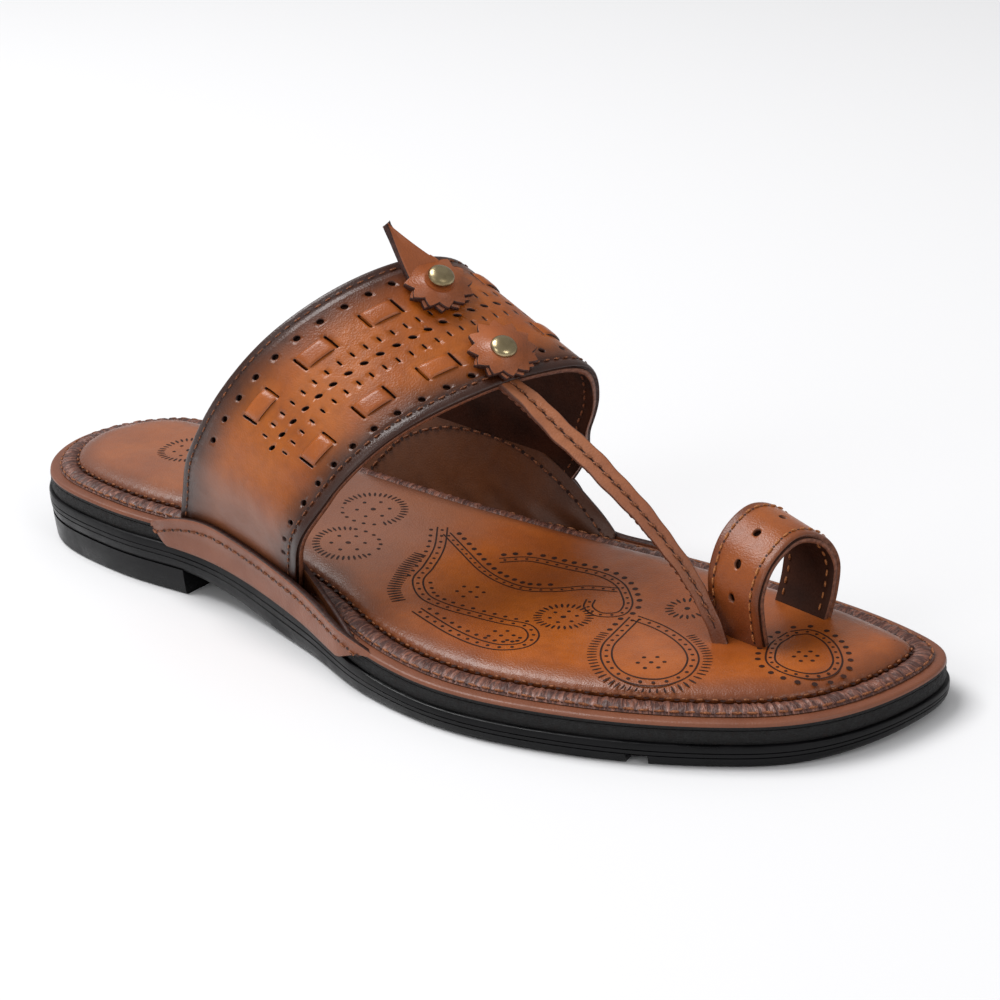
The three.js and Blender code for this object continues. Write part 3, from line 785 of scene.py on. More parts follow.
def band_feet():
    """Where the band meets the rim, for each line along it, and the length of its middle."""
    lines, shares = np.linspace(0, 1, 33), np.linspace(0, 1, 1201)
    low, high = [], []
    for q in lines:
        p = band_point(shares, np.full_like(shares, q))
        over = p[:, 2] - rim_top(LENGTH / 2 - p[:, 1]) - GAP
        inside = np.nonzero(over > 0)[0]
        low.append(shares[inside[0]])
        high.append(shares[inside[-1]])
    middle = band_point(mix(low[16], high[16], shares), np.full_like(shares, 0.5))
    run = np.r_[0, np.cumsum(np.linalg.norm(np.diff(middle, axis=0), axis=1))]
    return lines, np.array(low), np.array(high), shares, run


FEET_LINES, FEET_LOW, FEET_HIGH, BAND_SHARES, BAND_RUN = band_feet()
BAND_LENGTH = BAND_RUN[-1]


def band_share(x, y):
    along = np.clip(np.asarray(y, float) / BAND_WIDTH, 0, 1)
    low = np.interp(along, FEET_LINES, FEET_LOW)
    high = np.interp(along, FEET_LINES, FEET_HIGH)
    return mix(low, high, np.interp(x, BAND_RUN, BAND_SHARES)), along


def on_band(x, y, lift=0.0):
    """A place on the band: x round it from the lateral foot, y from the rear edge."""
    across, along = band_share(x, y)
    return band_point(across, along) + band_normal(across, along) * np.asarray(lift)[..., None]


# ---- ring, strap and seats --------------------------------------------------------------------
RING_LINE = Line([(side, up) for side, up in RING])
RING_FLOOR = rim_top(RING_STATION) + PAD_HEIGHT + 0.3
STRAP_LINE = Line([at(*row) for row in STRAP])


def on_ring(x, y, lift=0.0):
    """A place on the toe ring: x round it from the strap's side, y across its width."""
    f = np.clip(np.asarray(x, float) / RING_LINE.length, 0, 1)
    p, go = RING_LINE.run(f), RING_LINE.going(f)
    push = RING_WALL / 2 + np.asarray(lift)
    side, up = p[..., 0] + go[..., 1] * push, p[..., 1] - go[..., 0] * push
    run = np.asarray(y, float) - RING_WIDTH / 2
    middle = RING[4][0]
    s = RING_STATION + run * math.cos(RING_TURN) + (side - middle) * math.sin(RING_TURN)
    v = middle + (side - middle) * math.cos(RING_TURN) - run * math.sin(RING_TURN)
    return at(s, v, RING_FLOOR + up - run * RING_SLOPE * np.clip(up / 24, 0, 1))


def strap_frame(f):
    centre, go = STRAP_LINE.run(f), STRAP_LINE.going(f)
    turn = np.radians(180 - 38 * smooth(0.02, 0.3, f) - 30 * smooth(0.72, 1.0, f))[..., None]
    level = np.broadcast_to(np.array([1.0, 0, 0]), go.shape)
    up = unit(np.cross(level, go))
    wide = unit(level * np.cos(turn) + up * np.sin(turn))
    return centre, go, wide, np.cross(wide, go)


def seat_frame(name, lift):
    across, along, _ = SEATS[name]
    normal = band_normal(across, along)
    centre = band_point(across, along) + normal * lift
    run = band_point(across, along + 0.02) - band_point(across, along - 0.02)
    forward = unit(run - normal * (run @ normal))
    return centre, forward, np.cross(normal, forward), normal


def on_seat(seat, x, y, z):
    centre, forward, cross, normal = seat
    x, y, z = (np.asarray(k, float)[..., None] for k in (x, y, z))
    return centre + forward * x + cross * y + normal * z


# ---- the finishes used ------------------------------------------------------------------------
# the band's rosy tone (116, 72, 52) towards its feet is a painted sheen
BAND_LEATHER = leather("band_leather", ORANGE_TAN, colour(136, 66, 20), colour(36, 16, 12),
                       band_burn, 0.36, 0.11, 0.18, edge_rubbed, band_painted_sheen,
                       colour(116, 72, 52))
# the pad's greyish rosy tone (128, 92, 78) at the waist and heel is a painted sheen
PAD_LEATHER = leather("pad_leather", colour(170, 90, 34), colour(146, 74, 30),
                      colour(82, 46, 32), pad_burn, 0.36, 0.14, 0.16, None, pad_painted_sheen,
                      colour(128, 92, 78))
RIM_LEATHER = leather("rim_leather", colour(126, 76, 54), colour(108, 64, 46), CHESTNUT,
                      None, 0.42, 0.14, 0.08)
FLAP_LEATHER = leather("flap_leather", colour(138, 84, 60), colour(118, 70, 50), CHESTNUT,
                       None, 0.40, 0.15, 0.10)
INNER_LEATHER = leather("inner_flap_leather", colour(96, 56, 32), colour(72, 41, 25), BURNT,
                        None, 0.42, 0.07, 0.06)
RING_LEATHER = leather("ring_leather", colour(154, 82, 34), colour(130, 66, 30),
                       colour(72, 38, 26), ring_burn, 0.37, 0.14, 0.12)
STRAP_LEATHER = leather("strap_leather", colour(158, 98, 66), colour(136, 80, 54),
                        colour(70, 38, 27), strap_burn, 0.40, 0.14, 0.08)
ROSETTE_LEATHER = leather("rosette_leather", colour(166, 92, 50), colour(144, 76, 40), CHESTNUT,
                          None, 0.36, 0.14, 0.14)
LACE_LEATHER = leather("lace_leather", colour(166, 88, 34), colour(138, 70, 28), CHESTNUT,
                       None, 0.33, 0.12, 0.18)
BRAID_LEATHER = leather("braid_leather", colour(104, 56, 32), colour(82, 44, 28), BURNT,
                        None, 0.42, 0.05, 0.10)
# brown suede lining, its own colour darkened as painted shade for the recess seen through the
# punched holes
LINING_WITH_PAINTED_SHADE = suede("lining_suede_painted_shade", colour(66, 37, 24), colour(44, 25, 17))
DARK_EDGE = cut_edge("dark_cut_edge", colour(70, 40, 32), colour(44, 26, 22))
BROWN_EDGE = cut_edge("brown_cut_edge", colour(128, 78, 54), colour(88, 52, 38))
STRIP_LEATHER = gathered("gathered_binding")
OUTSOLE_RUBBER = rubber("outsole_rubber")
BOARD_PAINT = painted_board("painted_board")
TAN_THREAD = waxed_thread("tan_thread", colour(158, 100, 64), colour(98, 56, 36))
RING_THREAD = waxed_thread("ring_thread_wax", colour(190, 124, 74), colour(130, 76, 44))
BROWN_THREAD = waxed_thread("brown_thread", colour(150, 92, 60), colour(58, 32, 23))
# the stitch pits: dark discs in the scorched finish, as painted shade for the stitch holes
STITCH_HOLE_SHADE = scorched("stitch_hole_shade")
SCORCHED = scorched("scorched_ornament")
RIVET_BRASS = brass("antique_brass")


# ---- sole -------------------------------------------------------------------------------------
def over_rim(*rows):
    """A plate's levels, from insets and heights over the rim's top."""
    return [(inset, lambda s, up=up: rim_top(s) + up) for inset, up in rows]


def groove_cuts(grooves):
    return [s + off for s in grooves for off in (-1.5, -1.2, 1.2, 1.5)]


def tread(grooves, lateral, medial):
    """Depth of the cross grooves in an underside, between its two sides."""
    def depth(s, v):
        deep = np.zeros_like(s)
        for groove in grooves:
            within = (np.abs(s - groove) <= 1.21) & (v < lateral) & (v > medial)
            deep = np.where(within, 1.2, deep)
        return deep

    return depth


def make_outsole():
    """Rubber unit with moulded lines round its wall, heel block and cross grooves below."""
    def level(inset, share):
        return inset, lambda s: mix(outsole_bottom(s), outsole_top(s), share)

    lines = [level(1.8, 0), level(1.2, 0.035), level(0.7, 0.10), level(0.32, 0.28)]
    for low, inset in ((0.46, 0.12), (0.66, 0.04)):
        lines += [level(inset, low), level(inset + 0.24, low + 0.02),
                  level(inset + 0.24, low + 0.035), level(inset - 0.02, low + 0.055)]
    lines += [level(0.05, 0.9), level(0.2, 0.97), level(0.5, 1)]
    grooves = [146 + 14 * k for k in range(7)]
    cuts = sorted(groove_cuts(grooves) + list(np.arange(6, 282, 4.0)))

    def notch(x, row):
        s, v = round_sole(x / PERIMETER, 0)
        return 3.4 * ((row <= 4) & (np.abs(s - 235.5) < 2.3) & (v > 0))

    bm = plate(lines, 960, cuts, [30, 28.4, 20, 10, 0, -10, -22.4, -24], None,
               tread(grooves, 28.5, -22.5), notch)
    piece("outsole_unit", bm, [OUTSOLE_RUBBER], ["outsole"], 35)


def make_heel():
    levels = [(inset, lambda s, up=up: up + 0.0 * s) for inset, up in (
        (1.8, 0), (1.2, 0.25), (0.9, 0.8), (0.5, 5.5), (0.42, HEEL_STEP + 0.6))]
    grooves = [16 + 15 * k for k in range(4)]
    bm = plate(levels, 720, groove_cuts(grooves), [16, 14.9, -18.9, -20], None,
               tread(grooves, 15, -19))
    front = LENGTH / 2 - BREAST
    bmesh.ops.bisect_plane(bm, geom=everything(bm), dist=1e-4,
                           plane_co=(0, front, 0), plane_no=(0, -1, 0), clear_outer=True)
    close_ends(bm)
    piece("heel_block", bm, [OUTSOLE_RUBBER], (), 35)


def make_board():
    levels = over_rim((1.15, -COVER - BOARD - 2 * GAP), (0.95, -COVER - BOARD + 0.2),
                      (0.9, -COVER - 1.2), (1.2, -COVER - 0.1))
    bm = plate(levels, 720, np.arange(12, 280, 12), [30, 15, 0, -15])
    piece("board_edge", bm, [BOARD_PAINT], ["midsole_board"], 50)


def make_rim():
    """The cover board's leather rim; the lower part of its side is painted with the board."""
    levels = over_rim((1.3, -COVER), (1.0, -COVER + 0.3), (0.93, -1.3), (0.96, -1.0),
                      (1.08, -0.38), (1.4, -0.1), (1.9, 0), (4.4, 0))
    bm = plate(levels, 720, np.arange(8, 280, 8), [30, 15, 0, -15])
    for face in bm.faces:
        centre = face.calc_center_median()
        if centre.z < rim_top(LENGTH / 2 - centre.y) - COVER_PAINTED:
            face.material_index = 1
    piece("leather_rim", bm, [RIM_LEATHER, BOARD_PAINT],
          ["footbed_cover"], 60)


RIBS = [(rng.uniform(0, PERIMETER), rng.uniform(0.7, 1.3), rng.uniform(-0.5, 0.5))
        for _ in range(520)]


def make_strip():
    """The binding, gathered into ribs that lean this way and that."""
    bm = grid(1500, 10, PERIMETER, STRIP_WIDTH + 0.6)
    mark(bm)
    starts = np.sort([r[0] for r in RIBS])

    def ribs(x, y):
        skew = x + 0.5 * np.sin(x / 9.0) * (y - 2.8)
        near = np.searchsorted(starts, np.mod(skew, PERIMETER)) % len(starts)
        a, b = starts[near - 1], starts[near]
        t = np.mod(skew - a, PERIMETER) / np.maximum(np.mod(b - a, PERIMETER), 0.2)
        tall = np.interp(near, np.arange(len(RIBS)), [r[1] for r in RIBS])
        return tall * np.sin(np.pi * np.clip(t, 0, 1)) * np.clip(np.mod(b - a, PERIMETER), 0, 1.6)

    def place(x, y, z):
        w = np.clip(y / (STRIP_WIDTH + 0.6), 0, 1)
        s, v = round_sole(x / PERIMETER, RIM_WIDTH + y - 0.1)
        arch = np.sin(np.pi * np.clip(w, 0.0, 1)) ** 0.6
        return at(s, v, rim_top(s) + 0.25 + arch * (1.15 + 0.30 * ribs(x, y)))

    lay(bm, place)
    weld(bm)
    piece("gathered_binding", bm, [STRIP_LEATHER], ["gathered_strip"], 60)


PUCKER = PERIMETER / round(PERIMETER / 3.6)


def make_pad():
    """Foam-backed insole, drawn down by its stitches into small puckers round the edge."""
    def pull(x, row):
        fade = np.array([1.0, 1.0, 0.8, 0.5, 0.22, 0.06, 0, 0, 0, 0])[row]
        return 0.34 * fade * (1 - np.abs(np.sin(np.pi * x / PUCKER))) ** 1.2

    levels = over_rim((PAD_EDGE + 0.5, GAP), (PAD_EDGE + 0.1, 0.8), (PAD_EDGE, 1.5),
                      (PAD_EDGE + 0.35, 2.2), (PAD_EDGE + 1.1, 2.82), (PAD_EDGE + 2.2, 3.32),
                      (PAD_EDGE + 3.8, 3.86), (PAD_EDGE + 6.0, PAD_SHOULDER))
    bm = plate(levels, 1200, np.arange(14, 276, 2.5), np.arange(-32, 46, 3.0),
               lambda s, v: pad_top(s, v) - rim_top(s) - PAD_SHOULDER, None, pull)
    edge = bm.verts.layers.float.new("edge")
    co = np.array([v.co for v in bm.verts])
    far = edge_distance(LENGTH / 2 - co[:, 1], PLAN_CENTRE - co[:, 0], PAD_EDGE)
    for vert, d in zip(bm.verts, far):
        vert[edge] = d
    obj = piece("footbed_insole", bm, [PAD_LEATHER], ["footbed_pad"], 80)


def sole_stitches():
    threads, pits = bmesh.new(), bmesh.new()
    u = np.linspace(0, 1, 1441)
    for inset, lift, pitch, length, radius, pit in (
            (RIM_WIDTH + 0.35, 0.72, 3.6, 2.9, 0.32, 0.45),
            (PAD_EDGE - 0.1, 1.5, 3.6, 1.5, 0.30, 0.85)):
        s, v = round_sole(u, inset)
        points = at(s, v, rim_top(s) + lift)
        up = np.zeros_like(points)
        up[:, 2] = 1
        thread_row(threads, points, up, pitch, length, radius, 0.1)
        pit_row(pits, points, up, pitch, pit, 0.12, 0.0, 0.8)
    piece("sole_thread", threads, [TAN_THREAD])
    piece("sole_stitch_pits", pits, [STITCH_HOLE_SHADE], out=False)


# ---- burnt ornament on the insole -------------------------------------------------------------
# station and side of each line's points
TAIL_LEAF = [(137, -9), (143, 0), (148, 11), (151, 19), (158, 25), (165, 26), (174, 25), (182, 24),
             (189, 23), (194, 27), (195, 32), (191, 36), (185, 37), (176, 36), (168, 34), (161, 32)]
TAIL_RAYS = [(142, 6), (144, 14), (147, 21), (150, 27), (155, 31)]
LONG_STEM = [(140, -7), (150, -2), (160, 3), (167, 5), (175, 5), (182, 1), (188, -4), (196, -7)]
CURL = [(160, -4), (166, -9), (177, -11), (187, -12), (194, -10), (199, -6), (203, -1), (204, 4),
        (200, 7), (195, 5), (193, 1)]
BALL_LEAF = [(208.5, 4), (210.5, 14), (212.5, 21.5), (216.8, 28), (222.5, 32), (228.5, 32.4),
             (234, 29.6), (236.4, 24.6), (234.8, 18), (230.5, 12.6), (223.5, 7.8), (216, 5),
             (208.5, 4)]
TOE_LEAF = [(246.5, -8), (250, -10.8), (255, -9.5), (260, -5.5), (264, 0), (264.6, 5), (261.6, 9),
            (256, 10.2), (251, 8.4), (248, 4), (246, -2), (246.5, -8)]
# station, side, ring radius, dots inside, share of the ring that is rays, turn of that share
RAY_RINGS = [(124, 15, 8.6, 6, 0.62, 0.3), (116, -5, 8.6, 6, 0.62, 2.9), (193, 13, 6.6, 6, 1.0, 0),
             (217, -7, 4.6, 0, 1.0, 0), (46, -5, 8.0, 6, 1.0, 0)]
DOT_CLUSTERS = [(165, 15, 3.4), (187, 31, 3.1), (226.5, 23.5, 3.2), (256, 1.2, 2.8)]
LINE_WIDTH = 0.46


class Burner:
    """Draws the ornament flat in station and side, then lays it on the insole."""

    def __init__(self):
        self.bm = bmesh.new()

    def line(self, points):
        run = np.r_[0, np.cumsum(np.linalg.norm(np.diff(points, axis=0), axis=1))]
        bm = grid(max(4, int(run[-1] / 0.8)), 1, run[-1], 1)

        def place(x, y, z):
            p = np.stack([np.interp(x, run, c) for c in points.T], -1)
            q = np.stack([np.interp(np.minimum(x + 0.3, run[-1]), run, c) for c in points.T], -1)
            r = np.stack([np.interp(np.maximum(x - 0.3, 0), run, c) for c in points.T], -1)
            go = unit(q - r)
            out = np.stack([go[:, 1], -go[:, 0]], -1)
            p = p + out * ((y - 0.5) * LINE_WIDTH)[:, None]
            return np.stack([p[:, 0], p[:, 1], 0 * x], -1)

        lay(bm, place)
        join_in(self.bm, bm)

    def mark(self, s, v, long, wide, turn=0.0, sides=8):
        place = Matrix.Translation((s, v, 0)) @ Matrix.Rotation(turn, 4, "Z")
        bmesh.ops.create_circle(self.bm, cap_ends=True, segments=sides, radius=1,
                                matrix=place @ Matrix.Diagonal((long / 2, wide / 2, 1, 1)))

    def beside(self, points, offset, pitch):
        """Evenly spaced places beside a line, with the direction away from it."""
        line = Line(points)
        f = (np.arange(int(line.length / pitch)) + 0.5) / int(line.length / pitch)
        go = line.going(f, 0.01)
        out = np.stack([go[:, 1], -go[:, 0]], -1)
        return line.run(f) + out * offset, out

    def double(self, points, gap=1.35, dot=0.5, pitch=3.1):
        line = Line(points)
        f = np.linspace(0, 1, int(line.length / 0.7))
        go = line.going(f, 0.008)
        out = np.stack([go[:, 1], -go[:, 0]], -1)
        for side in (-1, 1):
            self.line(line.run(f) + side * gap * out)
        for (s, v), _ in zip(*self.beside(points, 0.0, pitch)):
            self.mark(s, v, 2 * dot, 2 * dot)

    def dots(self, points, offset, pitch=3.0, size=1.15):
        for (s, v), _ in zip(*self.beside(points, offset, pitch)):
            self.mark(s, v, size, size)

    def rays(self, points, offset, pitch=1.3, long=2.7, wide=0.62):
        for (s, v), (a, b) in zip(*self.beside(points, offset, pitch)):
            self.mark(s, v, long, wide, math.atan2(b, a), 6)

    def ring(self, s, v, radius, inside, share, turn):
        count = int(2 * math.pi * radius / 1.45)
        for k in range(count):
            a = 2 * math.pi * k / count
            c, d = math.cos(a), math.sin(a)
            if (a - turn) % (2 * math.pi) < share * 2 * math.pi:
                self.mark(s + radius * c, v + radius * d, 2.5, 0.74, a, 6)
            elif k % 2:
                self.mark(s + radius * c, v + radius * d, 1.15, 1.15)
        for k in range(inside):
            a = 2 * math.pi * (k + 0.3) / inside
            self.mark(s + radius * 0.52 * math.cos(a), v + radius * 0.52 * math.sin(a), 1.1, 1.1)
        self.mark(s, v, 1.5, 1.5, 0, 10)

    def cluster(self, s, v, radius):
        self.mark(s, v, 1.15, 1.15)
        for k in range(6):
            a = math.pi * (k + 0.4) / 3
            self.mark(s + radius * math.cos(a), v + radius * math.sin(a), 1.1, 1.1)


def make_ornament():
    burner = Burner()
    burner.double(TAIL_LEAF)
    burner.rays(TAIL_RAYS, -0.4, 1.25, 4.2, 0.78)
    burner.dots(TAIL_LEAF[9:], -2.9)
    burner.dots(TAIL_LEAF[3:9], 3.0)
    burner.dots(TAIL_LEAF[:4], -3.0)
    burner.double(LONG_STEM, 1.0, 0.42, 2.6)
    burner.double(CURL, 1.1, 0.45, 2.8)
    burner.dots(CURL[:8], 2.9, 3.0, 1.6)
    burner.dots(LONG_STEM[:-2], 3.0, 3.0, 1.5)
    burner.double(BALL_LEAF)
    burner.rays(BALL_LEAF[1:-2], -3.5)
    burner.dots(BALL_LEAF[:2], -3.1, 2.8, 1.5)
    burner.double(TOE_LEAF, 1.1, 0.45, 2.6)
    burner.dots(TOE_LEAF, 3.0, 2.8, 1.5)
    for ring in RAY_RINGS:
        burner.ring(*ring)
    for cluster in DOT_CLUSTERS:
        burner.cluster(*cluster)
    bm = burner.bm
    lay(bm, lambda s, v, z: at(s, v, pad_top(s, v) + 0.05))
    bm.normal_update()
    down = [f for f in bm.faces if f.normal.z < 0]
    bmesh.ops.reverse_faces(bm, faces=down)
    piece("insole_ornament", bm, [SCORCHED], (), 60, False)


# ---- flaps ------------------------------------------------------------------------------------
def flap_reach(rows, s, rise):
    """Top and bottom of a flap: it hangs over the rim's side and narrows to each end."""
    foot = outsole_top(s) + GAP
    head = np.maximum(rim_top(s) + rise, foot + 1.2)
    first, last = rows[0][0], rows[-1][0]
    ends = np.maximum(smooth(first + 12, first, s), smooth(last - 18, last, s))
    return head, mix(foot, head - 0.5, ends ** 0.8), ends


def flap_place(rows, lateral, lift=0.0, low=0.0):
    top = Line(rows)

    def place(x, y, z=0):
        k = top.rows(np.asarray(x) / 100.0)
        s = k[..., 0]
        head, foot, ends = flap_reach(rows, s, k[..., 1])
        up = np.maximum(head - np.asarray(y) - low, foot)
        inset = BAND_INSET - GAP - 0.2 - FLAP_WALL - lift
        over = up - rim_top(s)
        tucked = foot_side(lateral, FLAP_TUCK - lift, s, over)
        side = mix(foot_side(lateral, inset, s, over), tucked, ends)
        return at(s, side, up)

    return place


def make_flap(name, rows, lateral, node):
    place = flap_place(rows, lateral)
    bm = grid(110, 16, 100, 1)
    top = Line(rows)

    def spread(x, y, z):
        k = top.rows(x / 100.0)
        s = k[:, 0]
        head, foot, _ = flap_reach(rows, s, k[:, 1])
        depth = (head - foot) * y
        soft = 0.35 * np.exp(-depth / 0.5)
        p = place(x, depth)
        p[:, 0] += np.where(lateral, 1, -1) * soft
        return p

    lay(bm, spread)
    lay_map = bm.loops.layers.uv.new("lay")
    for face in bm.faces:
        for loop in face.loops:
            loop[lay_map].uv = (LENGTH / 2 - loop.vert.co.y, loop.vert.co.z)
    if lateral:
        turned_over(bm)
    obj = piece(name, bm, [FLAP_LEATHER, DARK_EDGE], [node], 60, False)
    wall(obj, FLAP_WALL)


INNER_MEDIAL = [(92, 1.0), (98, 9), (105, 16.5), (116, 22), (127, 24), (137, 23.5), (146, 21),
                (154, 16.5), (160, 12), (166, 7), (172, 1.5)]
INNER_LATERAL = [(90, 1.0), (96, 9), (105, 15), (114, 17), (122, 14), (129, 9.5), (136, 6.8),
                 (144, 4.6), (151, 2.4), (157, 0.5)]


def inner_flap_place(rows, lateral, lift=0.0):
    """The lining flap inside the band's foot: it stands clear of the band, then joins the flap."""
    top = Line(rows)
    joined = (rows[-5][0], rows[-1][0])

    def place(x, low):
        k = top.rows(np.asarray(x) / 100.0)
        s = k[..., 0]
        up = rim_top(s) + np.maximum(k[..., 1] - np.asarray(low), 0.25)
        over = up - rim_top(s)
        crease = 0.5 * np.sin(s / 2.6 + over * 0.5) * smooth(9, 1, over) * smooth(100, 140, s)
        inside = foot_side(lateral, BAND_INSET + BAND_WALL + 1.6, s, over)
        side = mix(inside, foot_side(lateral, INNER_JOIN, s, over), smooth(*joined, s))
        side = side + np.where(lateral, -1, 1) * (lift + crease)
        return at(s, side, up)

    return place


def make_inner_flap(name, rows, lateral):
    place = inner_flap_place(rows, lateral)
    bm = grid(120, 24, 100, 1)
    top = Line(rows)
    mark(bm)
    lay(bm, lambda x, y, z: place(x, y * top.rows(x / 100.0)[:, 1]))
    if not lateral:
        turned_over(bm)
    wall(piece(name, bm, [INNER_LEATHER, DARK_EDGE], (), 60, False),
         INNER_WALL)


def flap_stitches():
    threads, pits = bmesh.new(), bmesh.new()
    for rows, lateral in ((FLAP_LATERAL, True), (FLAP_MEDIAL, False)):
        place = flap_place(rows, lateral, 0.02, 3.6)
        x = np.linspace(8, 92, 200)
        points = place(x, np.zeros_like(x))
        top = Line(rows).rows(x / 100.0)
        keep = top[:, 1] > 0.2
        points = points[keep]
        side = -1.0 if lateral else 1.0
        normals = np.tile([side, 0, -0.25], (len(points), 1))
        thread_row(threads, points, normals, 3.4, 2.3, 0.33, 0.3)
        pit_row(pits, points, normals, 3.4, 0.5, 0.06)
    for rows, lateral in ((INNER_MEDIAL, False), (INNER_LATERAL, True)):
        place = inner_flap_place(rows, lateral, 0.05)
        x = np.linspace(6, 97, 200)
        points = place(x, 3.8 + 0 * x)
        normals = np.tile([1.0 if lateral else -1.0, 0, 0.3], (len(points), 1))
        thread_row(threads, points, normals, 3.3, 2.4, 0.36, 0.2)
        pit_row(pits, points, normals, 3.3, 0.55, 0.06)
    piece("flap_thread", threads, [BROWN_THREAD])
    piece("flap_stitch_pits", pits, [STITCH_HOLE_SHADE], out=False)


# ---- instep band ------------------------------------------------------------------------------
REAR_HOLES = [36.8 + 7.0 * k for k in range(22)]
FRONT_HOLES = [15.6 + 7.3 * k for k in range(25)]
CENTRE_HOLES = [44.9 + 4.72 * k for k in range(28)]
DASHES = [46.6 + 3.88 * k for k in range(33)]
SEAMS = (2.1, BAND_WIDTH - 3.1)


def drift(x):
    """The punched rows wander towards the rear edge over the top of the foot."""
    return -3.6 * float(smooth(88, 128, x))


LACES = [(x, y + drift(x), 9.2, 5.0)
         for x in (52.4, 71.9, 91.2, 129.0, 148.2, 167.6) for y in (13.4, 35.2)]


def band_holes():
    holes = [dict(cx=x, cy=6.5 + 0.25 * drift(x), half_x=0.95, half_y=0.95) for x in REAR_HOLES]
    holes += [dict(cx=x, cy=41.8 + 0.5 * drift(x), half_x=0.95, half_y=0.95)
              for x in FRONT_HOLES]
    holes += [dict(cx=x, cy=24.1 + drift(x), half_x=1.1, half_y=0.66, turn=0.45)
              for x in CENTRE_HOLES]
    holes += [dict(cx=x - shift, cy=y + drift(x), half_x=0.34, half_y=0.98, square=0.6, sides=8)
              for x in DASHES for y, shift in ((20.1, 0.0), (28.2, 0.6))]
    for x, y, long, wide in LACES:
        holes += [dict(cx=x + end * (long / 2 + 0.1), cy=y, half_x=0.42, half_y=wide / 2 + 0.15,
                       square=0.45, sides=16) for end in (-1, 1)]
    return holes


def edge_roll(d, reach_in=1.2, drop=0.5):
    t = np.clip(1 - d / reach_in, 0, 1)
    return -drop * (1 - np.sqrt(np.maximum(0, 1 - t * t)))


def make_band():
    ys = [0.12, 0.35, 0.7, 1.2, 2.1, 3.0] + list(np.arange(4.5, 43, 1.7))
    ys += [BAND_WIDTH - d for d in (3.1, 2.1, 1.2, 0.7, 0.35, 0.12)]
    bm = punched(BAND_LENGTH, BAND_WIDTH, band_holes(), np.arange(1.6, BAND_LENGTH, 1.75), ys)
    mark(bm)

    def place(x, y, z):
        d = np.minimum(y, BAND_WIDTH - y)
        seam = sum(np.exp(-((y - k) / 0.7) ** 2) for k in SEAMS)
        return on_band(x, y, edge_roll(d) - 0.16 * seam)

    lay(bm, place)
    turned_over(bm)
    outer = piece("instep_band", bm, [BAND_LEATHER, DARK_EDGE], ["upper"], 50,
                  False)
    wall(outer, 1.45)
    bm = grid(150, 20, BAND_LENGTH, BAND_WIDTH - 0.5)
    bmesh.ops.translate(bm, vec=(0, 0.25, 0), verts=bm.verts)
    mark(bm)
    lay(bm, lambda x, y, z: on_band(x, y, -BAND_SPLIT + 0 * x))
    turned_over(bm)
    lining = piece("band_lining", bm, [LINING_WITH_PAINTED_SHADE, BROWN_EDGE], (), 50, False)
    wall(lining, BAND_WALL - BAND_SPLIT)


def make_laces():
    whole = bmesh.new()
    for cx, cy, long, wide in LACES:
        bm = grid(14, 6, long + 0.5, wide)
        bmesh.ops.translate(bm, vec=(cx - long / 2 - 0.25, cy - wide / 2, 0), verts=bm.verts)
        mark(bm)

        def place(x, y, z):
            t = np.clip(np.abs(x - cx) / (long / 2 + 0.25), 0, 1)
            side = np.abs(y - cy) / (wide / 2)
            return on_band(x, y, 0.72 - 1.7 * t ** 6 - 0.22 * side ** 4)

        lay(bm, place)
        turned_over(bm)
        join_in(whole, bm)
    obj = piece("woven_laces", whole, [LACE_LEATHER, DARK_EDGE], (), 60, False)
    wall(obj, 0.7)


def band_stitches():
    threads, pits = bmesh.new(), bmesh.new()
    x = np.linspace(2, BAND_LENGTH - 2, 600)
    for seam in SEAMS:
        y = np.full_like(x, seam)
        normals = band_normal(*band_share(x, y))
        points = on_band(x, y, -0.14 + 0 * x)
        thread_row(threads, points, normals, 3.1, 2.1, 0.25, 0.35)
        pit_row(pits, points, normals, 3.1, 0.42, 0.05)
        inner = on_band(x, y, -BAND_WALL + 0 * x)
        thread_row(threads, inner, -normals, 3.1, 2.15, 0.30, 0.45)
    piece("band_thread", threads, [BROWN_THREAD])
    piece("band_stitch_pits", pits, [STITCH_HOLE_SHADE], out=False)


# ---- rosettes, rivets, spike ------------------------------------------------------------------
def tooth(angle):
    phase = np.mod(angle / (2 * np.pi) * ROSETTE_TEETH, 1)
    return mix(ROSETTE_RADIUS, ROSETTE_ROOT, 1 - np.abs(2 * phase - 1))


def band_under(name, seat):
    """Height of the band's face under a rosette, as a smooth surface in the seat's own sizes."""
    across, along, _ = SEATS[name]
    a, b = np.meshgrid(across + np.linspace(-0.06, 0.06, 9), along + np.linspace(-0.2, 0.17, 9))
    from_seat = band_point(a.ravel(), b.ravel()) - seat[0]
    x, y, z = (from_seat @ np.asarray(axis) for axis in seat[1:4])
    terms = lambda x, y: np.stack([1 + 0 * x, x, y, x * x, x * y, y * y], -1)
    bend = np.linalg.lstsq(terms(x, y), z, rcond=None)[0]
    return lambda x, y: terms(x, y) @ bend


